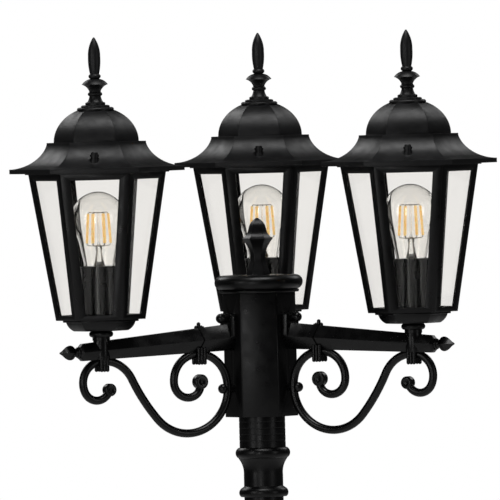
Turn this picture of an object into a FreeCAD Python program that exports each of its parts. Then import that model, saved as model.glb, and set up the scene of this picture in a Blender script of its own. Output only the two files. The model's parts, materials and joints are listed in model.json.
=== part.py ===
"""Triple head lamp post: three hexagonal lanterns on scrolled arms round a hexagonal hub, on a cast column.

Millimetres, +Z up. The origin is on the post's axis, on the underside of the base pedestal.
An arm and its lantern are drawn in the arm's own frame, X outwards along the arm, and are then turned
about the post's axis to the arm's direction.
"""
import FreeCAD, Part
import Sketcher
import math
import os

Vector = FreeCAD.Vector
Rotation = FreeCAD.Rotation
Placement = FreeCAD.Placement

ARM_DIRECTIONS = {"left": 210.0, "right": 330.0, "rear": 90.0}
HEXAGON_SIDES = 6
FACET_TURN = 360.0 / HEXAGON_SIDES
HALF_FACET = FACET_TURN / 2.0
CORNER_TO_FACET = math.cos(math.radians(HALF_FACET))
SCREW_FACETS = (60.0, 180.0, 300.0)
UP = Vector(0, 0, 1)
ACROSS = Vector(0, 1, 0)
OUT = Vector(1, 0, 0)

DIMENSIONS = {
    # clearances
    "seat_gap": 0.3,
    "slip_gap": 0.1,
    "wire_gap": 1.0,
    # base pedestal
    "foot_radius": 135.0,
    "foot_thickness": 12.0,
    "pedestal_height": 190.0,
    "pedestal_wall": 7.0,
    "pedestal_neck_radius": 56.0,
    "pedestal_waist_radius": 50.0,
    "pedestal_flare": 34.0,
    "anchor_circle_radius": 112.0,
    "anchor_hole_radius": 6.0,
    "anchor_count": 4.0,
    "cable_entry_radius": 12.5,
    "gland_plate_height": 34.0,
    "gland_plate_thickness": 6.0,
    "gland_ledge_width": 7.0,
    # columns
    "lower_column_radius": 34.0,
    "lower_column_bore_radius": 26.0,
    "lower_column_top": 800.0,
    "lower_spigot_radius": 31.0,
    "lower_spigot_length": 36.0,
    "flute_radius": 5.0,
    "flute_depth": 2.4,
    "flute_count": 12.0,
    "flute_margin": 44.0,
    "knuckle_height": 74.0,
    "knuckle_bead_radius": 48.0,
    "upper_column_radius": 21.5,
    "upper_column_wall": 3.2,
    "upper_collar_radius": 26.0,
    "upper_collar_height": 1250.0,
    "upper_collar_length": 22.0,
    # neck under the hub
    "neck_length": 88.0,
    "neck_sleeve_radius": 25.3,
    "neck_bead_radius": 29.0,
    "neck_bead_drop": 46.4,
    "neck_bead_length": 12.1,
    "neck_waist_drop": 64.0,
    "neck_ring_length": 9.0,
    "neck_groove_depth": 0.7,
    "neck_spigot_length": 22.0,
    # hub
    "hub_flats": 70.0,
    "hub_foot_drop": 88.1,
    "hub_head_rise": 47.9,
    "hub_bore_radius": 27.0,
    "hub_edge_radius": 4.0,
    "hub_facet_crown": 1.2,
    "cap_ring_radius": 43.5,
    "cap_ring_height": 3.0,
    "cap_radius": 49.0,
    "cap_height": 16.0,
    "cap_spigot_length": 7.0,
    "cap_spigot_wall": 4.0,
    "hub_finial_foot_radius": 12.8,
    "hub_finial_neck_radius": 8.2,
    "hub_finial_wide_radius": 17.0,
    "hub_finial_neck_height": 20.5,
    "hub_finial_wide_height": 40.0,
    "hub_finial_height": 62.5,
    "finial_stud_radius": 4.0,
    # arms
    "arm_root_height": 1868.1,
    "arm_droop_angle": 3.4,
    "arm_root_depth": 28.9,
    "arm_end_depth": 18.7,
    "arm_root_width": 23.0,
    "arm_end_width": 15.5,
    "arm_flat_half": 3.4,
    "arm_wall": 2.6,
    "arm_end": 221.0,
    "arm_end_chamfer": 3.2,
    "lantern_reach": 196.5,
    "flange_thickness": 7.5,
    "flange_width": 25.0,
    "flange_rise": 26.0,
    "flange_drop": 1.8,
    "flange_bolt_offset": 20.5,
    "bolt_shank_radius": 2.5,
    "bolt_collar_radius": 4.6,
    "bolt_collar_length": 5.5,
    "bolt_head_radius": 5.2,
    "bolt_head_length": 5.6,
    "arm_boss_radius": 8.9,
    "arm_tip_neck_radius": 4.7,
    "arm_tip_wide_radius": 8.0,
    "arm_tip_length": 27.0,
    "arm_tip_tenon": 7.0,
    # straps
    "strap_thickness": 1.7,
    "strap_width": 7.0,
    "strap_point": 5.0,
    "inner_strap_reach": 76.0,
    "strap_flute_radius": 2.1,
    "strap_tie_half_depth": 6.2,
    "strap_tie_reach": 13.4,
    "strap_knob_height": 6.6,
    # scroll
    "rod_radius": 4.5,
    "scroll_start_reach": 188.0,
    "scroll_start_drop": 52.9,
    "scroll_start_heading": -72.0,
    "outer_boss_radius": 7.0,
    "inner_boss_radius": 8.2,
    "boss_half_width": 5.2,
    "dimple_radius": 7.0,
    "dimple_depth": 1.5,
    "scroll_screw_drop": 56.4,
    "scroll_screw_radius": 2.0,
    "scroll_knob_radius": 5.4,
    # stem and bowl
    "stem_neck_radius": 9.6,
    "stem_bulge_radius": 13.5,
    "stem_bulge_length": 7.0,
    "stem_neck_length": 3.5,
    "stem_bore_radius": 3.9,
    "stem_nipple_radius": 6.0,
    "bowl_rise": 11.9,
    "bowl_height": 9.8,
    "bowl_foot_corner": 29.7,
    "bowl_top_corner": 38.0,
    "bowl_wall": 3.0,
    "collar_corner": 41.5,
    "collar_thickness": 2.2,
    # cage and glass
    "cage_height": 160.7,
    "cage_bottom_corner": 49.0,
    "cage_top_corner": 75.4,
    "cage_wall": 2.4,
    "cage_top_rail": 7.8,
    "cage_bottom_rail": 5.6,
    "cage_floor_thickness": 2.5,
    "cage_floor_opening_corner": 28.0,
    "cage_flange_thickness": 3.4,
    "cage_flange_corner": 63.0,
    "post_flange_width": 10.5,
    "glass_thickness": 2.0,
    "glass_edge_gap": 1.6,
    # lampholder and lamp
    "holder_radius": 21.8,
    "holder_height": 54.0,
    "holder_flange_radius": 33.0,
    "holder_flange_thickness": 2.0,
    "holder_well_radius": 20.2,
    "holder_well_depth": 6.5,
    "holder_floor_height": 20.0,
    "holder_floor_thickness": 3.0,
    "holder_wall": 2.5,
    "lamp_cap_radius": 13.1,
    "lamp_cap_gap": 0.4,
    "lamp_cap_length": 23.0,
    "lamp_contact_radius": 4.5,
    "lamp_contact_length": 5.0,
    "lamp_radius": 30.0,
    "lamp_rise": 152.0,
    "lamp_glass_wall": 0.8,
    "lamp_neck_radius": 16.5,
    "filament_radius": 0.9,
    "filament_length": 37.0,
    "filament_circle_radius": 11.0,
    "filament_spread": 2.0,
    "filament_count": 6.0,
    "mount_radius": 5.0,
    "mount_length": 26.0,
    "centre_contact_radius": 3.2,
    # roof
    "roof_rim_corner": 95.7,
    "roof_rim_height": 5.0,
    "skirt_height": 26.0,
    "skirt_top_corner": 54.3,
    "skirt_lean": 0.3,
    "ledge_thickness": 2.0,
    "dome_corner": 46.5,
    "dome_crown_height": 38.4,
    "dome_height": 34.6,
    "roof_wall": 2.4,
    "roof_seat_corner": 68.0,
    "roof_seat_height": 8.0,
    "roof_lip_gap": 1.0,
    "roof_lip_drop": 1.3,
    "roof_screw_reach": 59.6,
    "roof_screw_shank_radius": 2.0,
    "roof_screw_boss_radius": 4.6,
    "roof_screw_boss_height": 14.6,
    "roof_screw_flange_radius": 4.9,
    "roof_screw_body_radius": 3.9,
    "roof_screw_cap_radius": 3.7,
    "roof_screw_step": 2.6,
    # roof finial, from its foot upwards
    "rosette_low_radius": 20.1,
    "rosette_high_radius": 15.7,
    "rosette_step": 2.5,
    "finial_foot_radius": 10.9,
    "finial_neck_radius": 6.3,
    "finial_bead_radius": 7.4,
    "finial_disc_radius": 14.3,
    "finial_spear_radius": 6.7,
    "finial_spear_foot_radius": 5.0,
    "finial_height": 79.5,
    "spear_length": 40.2,
    "finial_disc_height": 28.0,
    # wiring
    "supply_cable_radius": 4.0,
    "lamp_lead_radius": 2.4,
    "lead_bend_radius": 9.0,
    "terminal_radius": 13.0,
    "terminal_height": 22.0,
    "terminal_wall": 3.0,
    "gland_radius": 9.0,
    "gland_length": 22.0,
}

# The scroll's centre line in the arm's plane, from its outer rolled end to its inner one: arcs that run on
# tangent to one another, each with its radius and its turn in degrees, positive to the left.
SCROLL_ARCS = (
    (16.2, 137.3),
    (23.2, 101.9),
    (37.9, 75.9),
    (207.8, -15.0),
    (50.6, -105.8),
    (46.0, -48.8),
    (35.2, -92.0),
    (28.7, -75.2),
    (17.6, -108.8),
    (13.8, -79.5),
)


class Size:
    """A length that carries both its number and the sheet expression it stands for."""

    def __init__(self, number, text):
        self.number = number
        self.text = text

    def __float__(self):
        return self.number

    def __int__(self):
        return round(self.number)

    def __add__(self, other):
        return Size(self.number + float(other), f"({self.text} + {words(other)})")

    def __radd__(self, other):
        return self + other

    def __sub__(self, other):
        return Size(self.number - float(other), f"({self.text} - {words(other)})")

    def __rsub__(self, other):
        return Size(float(other) - self.number, f"({words(other)} - {self.text})")

    def __mul__(self, other):
        return Size(self.number * float(other), f"({self.text} * {words(other)})")

    def __rmul__(self, other):
        return self * other

    def __truediv__(self, other):
        return Size(self.number / float(other), f"({self.text} / {words(other)})")

    def __neg__(self):
        return self * -1.0


def words(value):
    """The value as it is written in an expression."""
    if isinstance(value, Size):
        return value.text
    return f"{float(value):.9f}"


class Sizes:
    """The driving dimensions by name."""

    def __init__(self, sheet, dimensions):
        for row, (name, number) in enumerate(dimensions.items(), start=1):
            sheet.set(f"A{row}", name)
            sheet.set(f"B{row}", str(number))
            sheet.setAlias(f"B{row}", name)
            setattr(self, name, Size(number, f"{sheet.Name}.{name}"))


document = FreeCAD.newDocument("lamp_post")
sheet = document.addObject("Spreadsheet::Sheet", "Dimensions")
size = Sizes(sheet, DIMENSIONS)
document.recompute()
nodes = {}


# ---------------------------------------------------------------------------------------------- helpers
def bind(feature, path, value):
    """Gives a property its size, tied to the sheet where the size comes from there."""
    if isinstance(value, Size):
        feature.setExpression(path, value.text)


def place(feature, out=0.0, up=0.0, direction=0.0, side=0.0, tilt=None):
    """Puts a feature at a reach along a direction, at a height, turned to that direction."""
    radians = math.radians(direction)
    x = out * math.cos(radians) - side * math.sin(radians)
    y = out * math.sin(radians) + side * math.cos(radians)
    turn = Rotation(UP, direction)
    if tilt is not None:
        turn = turn * tilt
    feature.Placement = Placement(Vector(float(x), float(y), float(up)), turn)
    bind(feature, "Placement.Base.x", x)
    bind(feature, "Placement.Base.y", y)
    bind(feature, "Placement.Base.z", up)
    return feature


def keep(label, feature):
    """Names a finished sub-part and lists it for writing."""
    feature.Label = label
    nodes[label] = feature
    return feature


def new_body(name):
    return document.addObject("PartDesign::Body", name)


def draw(body, name, plane, corners, offset=0.0):
    """A closed outline on one of the body's planes. A corner is (across, up); a third value is the radius
    of the arc that leads on from it, which bulges to the right of the way round, or to the left if negative."""
    sketch = body.newObject("Sketcher::SketchObject", name)
    support = [item for item in body.Origin.OriginFeatures if item.Role == plane][0]
    sketch.AttachmentSupport = [(support, "")]
    sketch.MapMode = "FlatFace"
    sketch.AttachmentOffset = Placement(Vector(0, 0, float(offset)), Rotation())
    bind(sketch, "AttachmentOffset.Base.z", offset)
    points = [Vector(float(corner[0]), float(corner[1]), 0) for corner in corners]
    ends = []
    for index, corner in enumerate(corners):
        start = points[index]
        finish = points[(index + 1) % len(points)]
        if len(corner) == 2:
            sketch.addGeometry(Part.LineSegment(start, finish), False)
            ends.append((1, 2))
            continue
        radius = abs(float(corner[2]))
        forwards = float(corner[2]) > 0
        chord = finish - start
        aside = Vector(chord.y, -chord.x, 0).normalize() * (1.0 if forwards else -1.0)
        centre = (start + finish) / 2.0 - aside * math.sqrt(max(radius ** 2 - (chord.Length / 2.0) ** 2, 0.0))
        first, last = (start, finish) if forwards else (finish, start)
        angles = [math.atan2(point.y - centre.y, point.x - centre.x) for point in (first, last)]
        if angles[1] < angles[0]:
            angles[1] += 2.0 * math.pi
        sketch.addGeometry(Part.ArcOfCircle(Part.Circle(centre, UP, radius), *angles), False)
        ends.append((1, 2) if forwards else (2, 1))
    for index, corner in enumerate(corners):
        following = (index + 1) % len(corners)
        joint = Sketcher.Constraint("Coincident", index, ends[index][1], following, ends[following][0])
        sketch.addConstraint(joint)
    for index, corner in enumerate(corners):
        vertex = ends[index][0]
        for kind, axis, value in (("DistanceX", -2, corner[0]), ("DistanceY", -1, corner[1])):
            if abs(float(value)) < 1e-9:
                sketch.addConstraint(Sketcher.Constraint("PointOnObject", index, vertex, axis))
                continue
            number = sketch.addConstraint(Sketcher.Constraint(kind, -1, 1, index, vertex, float(value)))
            title = f"{kind[-1].lower()}_{index}"
            sketch.renameConstraint(number, title)
            bind(sketch, f"Constraints.{title}", value)
        if len(corner) == 3:
            bend = corner[2] if float(corner[2]) > 0 else -corner[2]
            number = sketch.addConstraint(Sketcher.Constraint("Radius", index, float(bend)))
            sketch.renameConstraint(number, f"bend_{index}")
            bind(sketch, f"Constraints.bend_{index}", bend)
    return sketch


def turned(name, outline, base=0.0, out=0.0, direction=0.0):
    """A body made by turning an outline of (radius, height) about the upright axis. The outline is drawn
    from the base height up, and the body is put back at that height."""
    body = new_body(name)
    lowered = [(corner[0], corner[1] - base, *corner[2:]) for corner in outline]
    sketch = draw(body, f"{name}_outline", "XZ_Plane", lowered)
    place(body, out=out, up=base, direction=direction)
    revolution = body.newObject("PartDesign::Revolution", f"{name}_turning")
    revolution.Profile = sketch
    revolution.ReferenceAxis = (sketch, ["V_Axis"])
    revolution.Angle = 360.0
    return body


def cylinder(name, radius, length, **where):
    feature = document.addObject("Part::Cylinder", name)
    feature.Radius = float(radius)
    feature.Height = float(length)
    bind(feature, "Radius", radius)
    bind(feature, "Height", length)
    return place(feature, **where)


def level_cylinder(name, radius, length, out, up, direction, side=0.0):
    """A cylinder whose axis lies level, along the direction, from the reach outwards."""
    tilt = Rotation(ACROSS, 90)
    return cylinder(name, radius, length, out=out, up=up, direction=direction, side=side, tilt=tilt)


def hexagon(name, corner, up, out=0.0, direction=0.0):
    """A level hexagon with a facet towards the direction, of the given centre-to-corner radius."""
    feature = document.addObject("Part::RegularPolygon", name)
    feature.Polygon = HEXAGON_SIDES
    feature.Circumradius = float(corner)
    bind(feature, "Circumradius", corner)
    return place(feature, out=out, up=up, direction=direction, tilt=Rotation(UP, HALF_FACET))


def hex_loft(name, sections, out=0.0, direction=0.0, ruled=False):
    """A solid through level hexagons of (corner radius, height)."""
    rings = []
    for index, (corner, up) in enumerate(sections):
        rings.append(hexagon(f"{name}_ring_{index}", corner, up, out=out, direction=direction))
    feature = document.addObject("Part::Loft", name)
    feature.Sections = rings
    feature.Solid = True
    feature.Ruled = ruled
    return feature


def fuse(name, *features):
    feature = document.addObject("Part::MultiFuse", name)
    feature.Shapes = list(features)
    feature.Refine = False
    return feature


def cut(name, base, *tools):
    tool = tools[0] if len(tools) == 1 else fuse(f"{name}_tools", *tools)
    feature = document.addObject("Part::Cut", name)
    feature.Base = base
    feature.Tool = tool
    return feature


def shaped(name, shape, direction=0.0, out=0.0):
    """A sub-part whose form needs swept or many-sided shapes."""
    feature = document.addObject("Part::Feature", name)
    feature.Shape = shape
    return place(feature, out=out, direction=direction)


def solids_of(shapes):
    """Several separate solids as one sub-part's shape."""
    pieces = []
    for shape in shapes:
        pieces.extend(shape.Solids)
    return Part.makeCompound(pieces)


def turn_about_post(shape, direction):
    copy = shape.copy()
    copy.rotate(Vector(0, 0, 0), UP, direction)
    return copy


# ------------------------------------------------------------------------------------------ levels shared
pedestal_top = size.pedestal_height
pedestal_bell_radius = size.pedestal_waist_radius + size.pedestal_flare
upper_bore_radius = size.upper_column_radius - size.upper_column_wall
hub_facet = size.hub_flats / 2.0
hub_corner = hub_facet / CORNER_TO_FACET
hub_bottom = size.arm_root_height - size.hub_foot_drop
hub_top = size.arm_root_height + size.hub_head_rise
neck_bottom = hub_bottom - size.neck_length
neck_bead_bottom = hub_bottom - size.neck_bead_drop
neck_waist_height = hub_bottom - size.neck_waist_drop
scroll_screw_height = size.arm_root_height - size.scroll_screw_drop
scroll_start_height = size.arm_root_height - size.scroll_start_drop
bowl_bottom = size.arm_root_height + size.bowl_rise
lamp_top = bowl_bottom + size.lamp_rise
cap_bottom = hub_top
cap_top = cap_bottom + size.cap_ring_height + size.cap_height
flange_face = hub_facet + size.flange_thickness
collar_bottom = bowl_bottom + size.bowl_height
cage_bottom = collar_bottom + size.collar_thickness
cage_top = cage_bottom + size.cage_height
cage_floor = cage_bottom + size.cage_floor_thickness
roof_bottom = cage_top + size.seat_gap
rim_top = roof_bottom + size.roof_rim_height
ledge_bottom = rim_top + size.skirt_height
ledge_top = ledge_bottom + size.ledge_thickness
dome_top = ledge_top + size.dome_height
holder_bottom = cage_floor
holder_top = holder_bottom + size.holder_height + size.holder_flange_thickness
holder_well_floor = holder_top - size.holder_well_depth
holder_floor_top = holder_bottom + size.holder_floor_height
lamp_contact_tip = holder_floor_top + size.seat_gap + size.centre_contact_radius
lamp_cap_bottom = lamp_contact_tip + size.lamp_contact_length
lamp_cap_top = lamp_cap_bottom + size.lamp_cap_length
lamp_centre = lamp_top - size.lamp_radius
terminal_low = size.arm_root_height - size.terminal_height / 2.0


def arm_centre_height(reach):
    """Height of the arm's centre line at a reach."""
    slope = math.tan(math.radians(float(size.arm_droop_angle)))
    return float(size.arm_root_height) - (reach - float(hub_facet)) * slope


def arm_share(reach):
    """How far along its taper the arm is at a reach."""
    return (reach - float(hub_facet)) / (float(size.arm_end) - float(hub_facet))


def arm_depth(reach):
    share = arm_share(reach)
    return float(size.arm_root_depth) * (1.0 - share) + float(size.arm_end_depth) * share


def arm_width(reach):
    share = arm_share(reach)
    return float(size.arm_root_width) * (1.0 - share) + float(size.arm_end_width) * share


def arm_section(reach, grown=0.0):
    """The arm's six-sided section: narrow flats above and below and a ridge along each side."""
    half_depth = arm_depth(reach) / 2.0 + grown
    half_width = arm_width(reach) / 2.0 + grown
    flat = float(size.arm_flat_half)
    centre = arm_centre_height(reach)
    corners = (
        (flat, half_depth),
        (half_width, 0.0),
        (flat, -half_depth),
        (-flat, -half_depth),
        (-half_width, 0.0),
        (-flat, half_depth),
    )
    points = [Vector(reach, across, centre + up) for across, up in corners]
    return Part.makePolygon(points + points[:1])


def arm_solid(start, finish, grown=0.0):
    return Part.makeLoft([arm_section(start, grown), arm_section(finish, grown)], True, True)


# ------------------------------------------------------------------------------------------ base and columns
def make_base_pedestal():
    """Bell-shaped cast foot, hollow from below, with a ledge inside for the gland plate."""
    wall = size.pedestal_wall
    foot = size.foot_radius
    waist = size.pedestal_waist_radius
    neck = size.pedestal_neck_radius
    socket = size.lower_spigot_radius + size.slip_gap
    thick = size.foot_thickness
    plate = size.gland_plate_height
    plate_top = plate + size.gland_plate_thickness
    bead_bottom = pedestal_top - 72.0
    bell = pedestal_bell_radius
    outer = (
        (foot, 0.0),
        (foot, thick, foot * 0.09),
        (foot - 10.0, thick + 8.0),
        (bell + 12.0, thick + 8.0),
        (bell + 12.0, thick + 15.0, -(foot - waist) * 1.15),
        (waist + 3.0, bead_bottom),
        (waist + 10.0, bead_bottom, size.pedestal_wall),
        (waist + 10.0, bead_bottom + 13.0),
        (waist + 2.0, bead_bottom + 15.0, -58.0),
        (waist, pedestal_top - 18.0),
        (neck, pedestal_top - 14.0),
        (neck, pedestal_top),
        (socket, pedestal_top),
        (socket, pedestal_top - size.lower_spigot_length),
        (size.lower_column_bore_radius, pedestal_top - size.lower_spigot_length),
        (size.lower_column_bore_radius, pedestal_top - size.lower_spigot_length - wall),
        (waist - wall, pedestal_top - size.lower_spigot_length - wall * 2.0),
        (waist - wall, bead_bottom),
        (waist + 11.0 - wall, plate_top + 26.0),
        (bell - size.gland_ledge_width - wall, plate_top),
        (bell - wall, plate_top),
        (bell - wall, plate),
        (bell + 12.0 - wall, thick + 8.0 - wall),
        (bell + 16.0 - wall, 0.0),
    )
    body = turned("base_pedestal_body", outer)
    sketch = body.newObject("Sketcher::SketchObject", "anchor_hole_outline")
    support = [item for item in body.Origin.OriginFeatures if item.Role == "XY_Plane"][0]
    sketch.AttachmentSupport = [(support, "")]
    sketch.MapMode = "FlatFace"
    circle = Part.Circle(Vector(float(size.anchor_circle_radius), 0, 0), UP, float(size.anchor_hole_radius))
    sketch.addGeometry(circle, False)
    sketch.addConstraint(Sketcher.Constraint("PointOnObject", 0, 3, -1))
    reach = sketch.addConstraint(
        Sketcher.Constraint("DistanceX", -1, 1, 0, 3, float(size.anchor_circle_radius))
    )
    bind(sketch, f"Constraints[{reach}]", size.anchor_circle_radius)
    hole = sketch.addConstraint(Sketcher.Constraint("Radius", 0, float(size.anchor_hole_radius)))
    bind(sketch, f"Constraints[{hole}]", size.anchor_hole_radius)
    pocket = body.newObject("PartDesign::Pocket", "anchor_hole")
    pocket.Profile = sketch
    pocket.Type = "Length"
    pocket.Reversed = True
    bind(pocket, "Length", size.foot_thickness * 4.0)
    pattern = body.newObject("PartDesign::PolarPattern", "anchor_holes")
    pattern.Originals = [pocket]
    pattern.Axis = (sketch, ["N_Axis"])
    pattern.Angle = 360.0
    pattern.Occurrences = int(size.anchor_count)
    bind(pattern, "Occurrences", size.anchor_count)
    body.Tip = pattern
    keep("base_pedestal", body)


def make_lower_column():
    """Fluted tube with a moulding at each end and a spigot below."""
    shaft = size.lower_column_radius
    bore = size.lower_column_bore_radius
    top = size.lower_column_top
    outline = (
        (bore, pedestal_top - size.lower_spigot_length),
        (size.lower_spigot_radius, pedestal_top - size.lower_spigot_length),
        (size.lower_spigot_radius, pedestal_top),
        (shaft + 12.0, pedestal_top),
        (shaft + 12.0, pedestal_top + 10.0, 9.0),
        (shaft + 4.0, pedestal_top + 17.0),
        (shaft + 4.0, pedestal_top + 23.0),
        (shaft, pedestal_top + 30.0),
        (shaft, top - 26.0),
        (shaft + 4.0, top - 20.0),
        (shaft + 4.0, top - 14.0, 8.0),
        (shaft + 7.0, top - 7.0),
        (shaft + 7.0, top),
        (bore, top),
    )
    body = turned("lower_column_body", outline)
    sketch = body.newObject("Sketcher::SketchObject", "flute_outline")
    support = [item for item in body.Origin.OriginFeatures if item.Role == "XY_Plane"][0]
    sketch.AttachmentSupport = [(support, "")]
    sketch.MapMode = "FlatFace"
    flute_bottom = pedestal_top + size.flute_margin
    flute_length = top - size.flute_margin - flute_bottom
    flute_reach = shaft + size.flute_radius - size.flute_depth
    bind(sketch, "AttachmentOffset.Base.z", flute_bottom)
    circle = Part.Circle(Vector(float(flute_reach), 0, 0), UP, float(size.flute_radius))
    sketch.addGeometry(circle, False)
    sketch.addConstraint(Sketcher.Constraint("PointOnObject", 0, 3, -1))
    reach = sketch.addConstraint(Sketcher.Constraint("DistanceX", -1, 1, 0, 3, float(flute_reach)))
    bind(sketch, f"Constraints[{reach}]", flute_reach)
    radius = sketch.addConstraint(Sketcher.Constraint("Radius", 0, float(size.flute_radius)))
    bind(sketch, f"Constraints[{radius}]", size.flute_radius)
    pocket = body.newObject("PartDesign::Pocket", "flute")
    pocket.Profile = sketch
    pocket.Type = "Length"
    pocket.Reversed = True
    pocket.Length = float(flute_length)
    bind(pocket, "Length", flute_length)
    pattern = body.newObject("PartDesign::PolarPattern", "flutes")
    pattern.Originals = [pocket]
    pattern.Axis = (sketch, ["N_Axis"])
    pattern.Angle = 360.0
    pattern.Occurrences = int(size.flute_count)
    bind(pattern, "Occurrences", size.flute_count)
    body.Tip = pattern
    keep("lower_column", body)


def make_column_knuckle():
    """Moulded ring that carries the upper column on the lower one."""
    bottom = size.lower_column_top
    top = bottom + size.knuckle_height
    socket = size.upper_column_radius + size.slip_gap
    bore = upper_bore_radius
    shaft = size.lower_column_radius
    bead = size.knuckle_bead_radius
    outline = (
        (bore, bottom),
        (shaft + 7.0, bottom),
        (shaft + 7.0, bottom + 5.0),
        (bead - 4.0, bottom + 9.0, 8.3),
        (bead - 4.0, bottom + 25.0),
        (shaft + 1.0, bottom + 28.0, -30.0),
        (socket + 5.0, top - 16.0),
        (socket + 8.0, top - 14.0, 4.0),
        (socket + 8.0, top - 7.0),
        (socket + 4.5, top - 5.0),
        (socket + 4.5, top),
        (socket, top),
        (socket, bottom + 14.0),
        (bore, bottom + 14.0),
    )
    keep("column_knuckle", turned("column_knuckle_body", outline, bottom))


def make_upper_column():
    """Slim tube with one moulded collar, and a thinner spigot at its top for the neck."""
    radius = size.upper_column_radius
    bore = upper_bore_radius
    collar = size.upper_collar_radius
    bottom = size.lower_column_top + 14.0
    low = size.upper_collar_height
    high = low + size.upper_collar_length
    outline = (
        (bore, bottom),
        (radius, bottom),
        (radius, low),
        (collar - 1.5, low + 2.0),
        (collar - 1.5, low + 5.0, 7.0),
        (collar - 1.5, high - 5.0),
        (collar - 1.5, high - 2.0),
        (radius, high),
        (radius, neck_bottom),
        (bore + 1.4, neck_bottom),
        (bore + 1.4, neck_bead_bottom),
        (bore, neck_bead_bottom),
    )
    keep("upper_column", turned("upper_column_body", outline, bottom))


def make_neck_vase():
    """Turned neck: vase with a ring below and a bead above, then a sleeve with fine grooves into the hub."""
    socket = upper_bore_radius + 1.4 + size.slip_gap
    bore = upper_bore_radius
    sleeve = size.neck_sleeve_radius
    bead = size.neck_bead_radius
    bead_low = neck_bead_bottom
    bead_high = bead_low + size.neck_bead_length
    bottom = neck_bottom
    waist = size.upper_column_radius
    ring_high = bottom + size.neck_ring_length
    groove = size.neck_groove_depth
    grooves = []
    for share in (0.22, 0.42, 0.62, 0.82):
        level = bead_high + (hub_bottom - bead_high) * share
        grooves.append((sleeve, level - 0.9, -2.2))
        grooves.append((sleeve, level + 0.9))
    outline = [
        (socket, bottom),
        (waist + 3.5, bottom, 6.0),
        (waist + 3.5, ring_high),
        (waist, ring_high + 2.5),
        (waist, neck_waist_height, -26.0),
        (bead - 2.6, bead_low),
        (bead - 2.2, bead_low + 0.8, 6.6),
        (bead - 2.2, bead_high),
        (sleeve, bead_high + 0.4),
        *grooves,
        (sleeve, hub_bottom + size.neck_spigot_length),
        (bore, hub_bottom + size.neck_spigot_length),
        (bore, bead_low + groove),
        (socket, bead_low + groove),
    ]
    keep("neck_vase", turned("neck_vase_body", outline, bottom))


# ------------------------------------------------------------------------------------------ hub
def hub_crowns():
    """Slight outward rounding of the three hub facets that carry no arm."""
    crowns = []
    crown = size.hub_facet_crown
    half = (hub_facet - size.hub_edge_radius) * math.tan(math.radians(HALF_FACET))
    radius = (half * half + crown * crown) / (crown * 2.0)
    for arm, direction in ARM_DIRECTIONS.items():
        free = direction + FACET_TURN
        round_bar = cylinder(f"hub_crown_bar_{arm}", radius, hub_top - hub_bottom,
                             out=hub_facet + crown - radius, up=hub_bottom, direction=free)
        slab = document.addObject("Part::Box", f"hub_crown_slab_{arm}")
        bind(slab, "Length", crown * 3.0)
        bind(slab, "Width", half * 2.0)
        bind(slab, "Height", hub_top - hub_bottom)
        place(slab, out=hub_facet - crown, side=-half, up=hub_bottom, direction=free)
        swell = document.addObject("Part::Common", f"hub_crown_{arm}")
        swell.Base = round_bar
        swell.Tool = slab
        crowns.append(swell)
    return crowns


def make_hub_body():
    """Hollow hexagonal casting, a facet to each arm, drilled for the leads, the bolts and the scroll screws."""
    prism = document.addObject("Part::Prism", "hub_prism")
    prism.Polygon = HEXAGON_SIDES
    bind(prism, "Circumradius", hub_corner)
    bind(prism, "Height", hub_top - hub_bottom)
    place(prism, up=hub_bottom, tilt=Rotation(UP, 0))
    document.recompute()
    rounded = document.addObject("Part::Fillet", "hub_rounded")
    rounded.Base = prism
    upright = []
    for index, edge in enumerate(prism.Shape.Edges, start=1):
        along = edge.tangentAt(edge.FirstParameter)
        if abs(along.z) > 0.99:
            upright.append((index, float(size.hub_edge_radius), float(size.hub_edge_radius)))
    rounded.Edges = upright
    casting = fuse("hub_outside", rounded, *hub_crowns())
    tools = [
        cylinder("hub_socket", size.neck_sleeve_radius + size.slip_gap, hub_top - hub_bottom,
                 up=hub_bottom),
        cylinder("hub_cavity", size.hub_bore_radius, hub_top - hub_bottom,
                 up=hub_bottom + size.neck_spigot_length),
    ]
    for arm, direction in ARM_DIRECTIONS.items():
        inside = hub_facet / 2.0
        lead_hole = size.lamp_lead_radius + size.wire_gap
        screw_hole = size.scroll_screw_radius + size.slip_gap
        bolt_hole = size.bolt_shank_radius + size.slip_gap
        tools.append(level_cylinder(f"hub_lead_hole_{arm}", lead_hole, hub_facet, inside,
                                    size.arm_root_height, direction))
        tools.append(level_cylinder(f"hub_screw_hole_{arm}", screw_hole, hub_facet, inside,
                                    scroll_screw_height, direction))
        tools.append(level_cylinder(f"hub_bolt_hole_{arm}", bolt_hole, hub_facet, inside,
                                    size.arm_root_height + size.flange_bolt_offset, direction))
    keep("hub_body", cut("hub_casting", casting, *tools))


def make_hub_cap():
    """Moulded cap: a spigot in the hub, a thin ring and a full round above it."""
    spigot = size.hub_bore_radius - size.slip_gap
    bottom = cap_bottom
    ring_top = bottom + size.cap_ring_height
    edge = size.cap_height / 2.0
    stud = size.finial_stud_radius + size.slip_gap
    outline = (
        (spigot - size.cap_spigot_wall, bottom - size.cap_spigot_length),
        (spigot, bottom - size.cap_spigot_length),
        (spigot, bottom),
        (size.cap_ring_radius, bottom, 2.2),
        (size.cap_ring_radius, ring_top),
        (size.cap_radius - edge, ring_top, edge + 0.02),
        (size.cap_radius - edge, cap_top),
        (stud, cap_top),
        (stud, ring_top),
        (spigot - size.cap_spigot_wall, ring_top),
    )
    keep("hub_cap", turned("hub_cap_body", outline, bottom))


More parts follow.
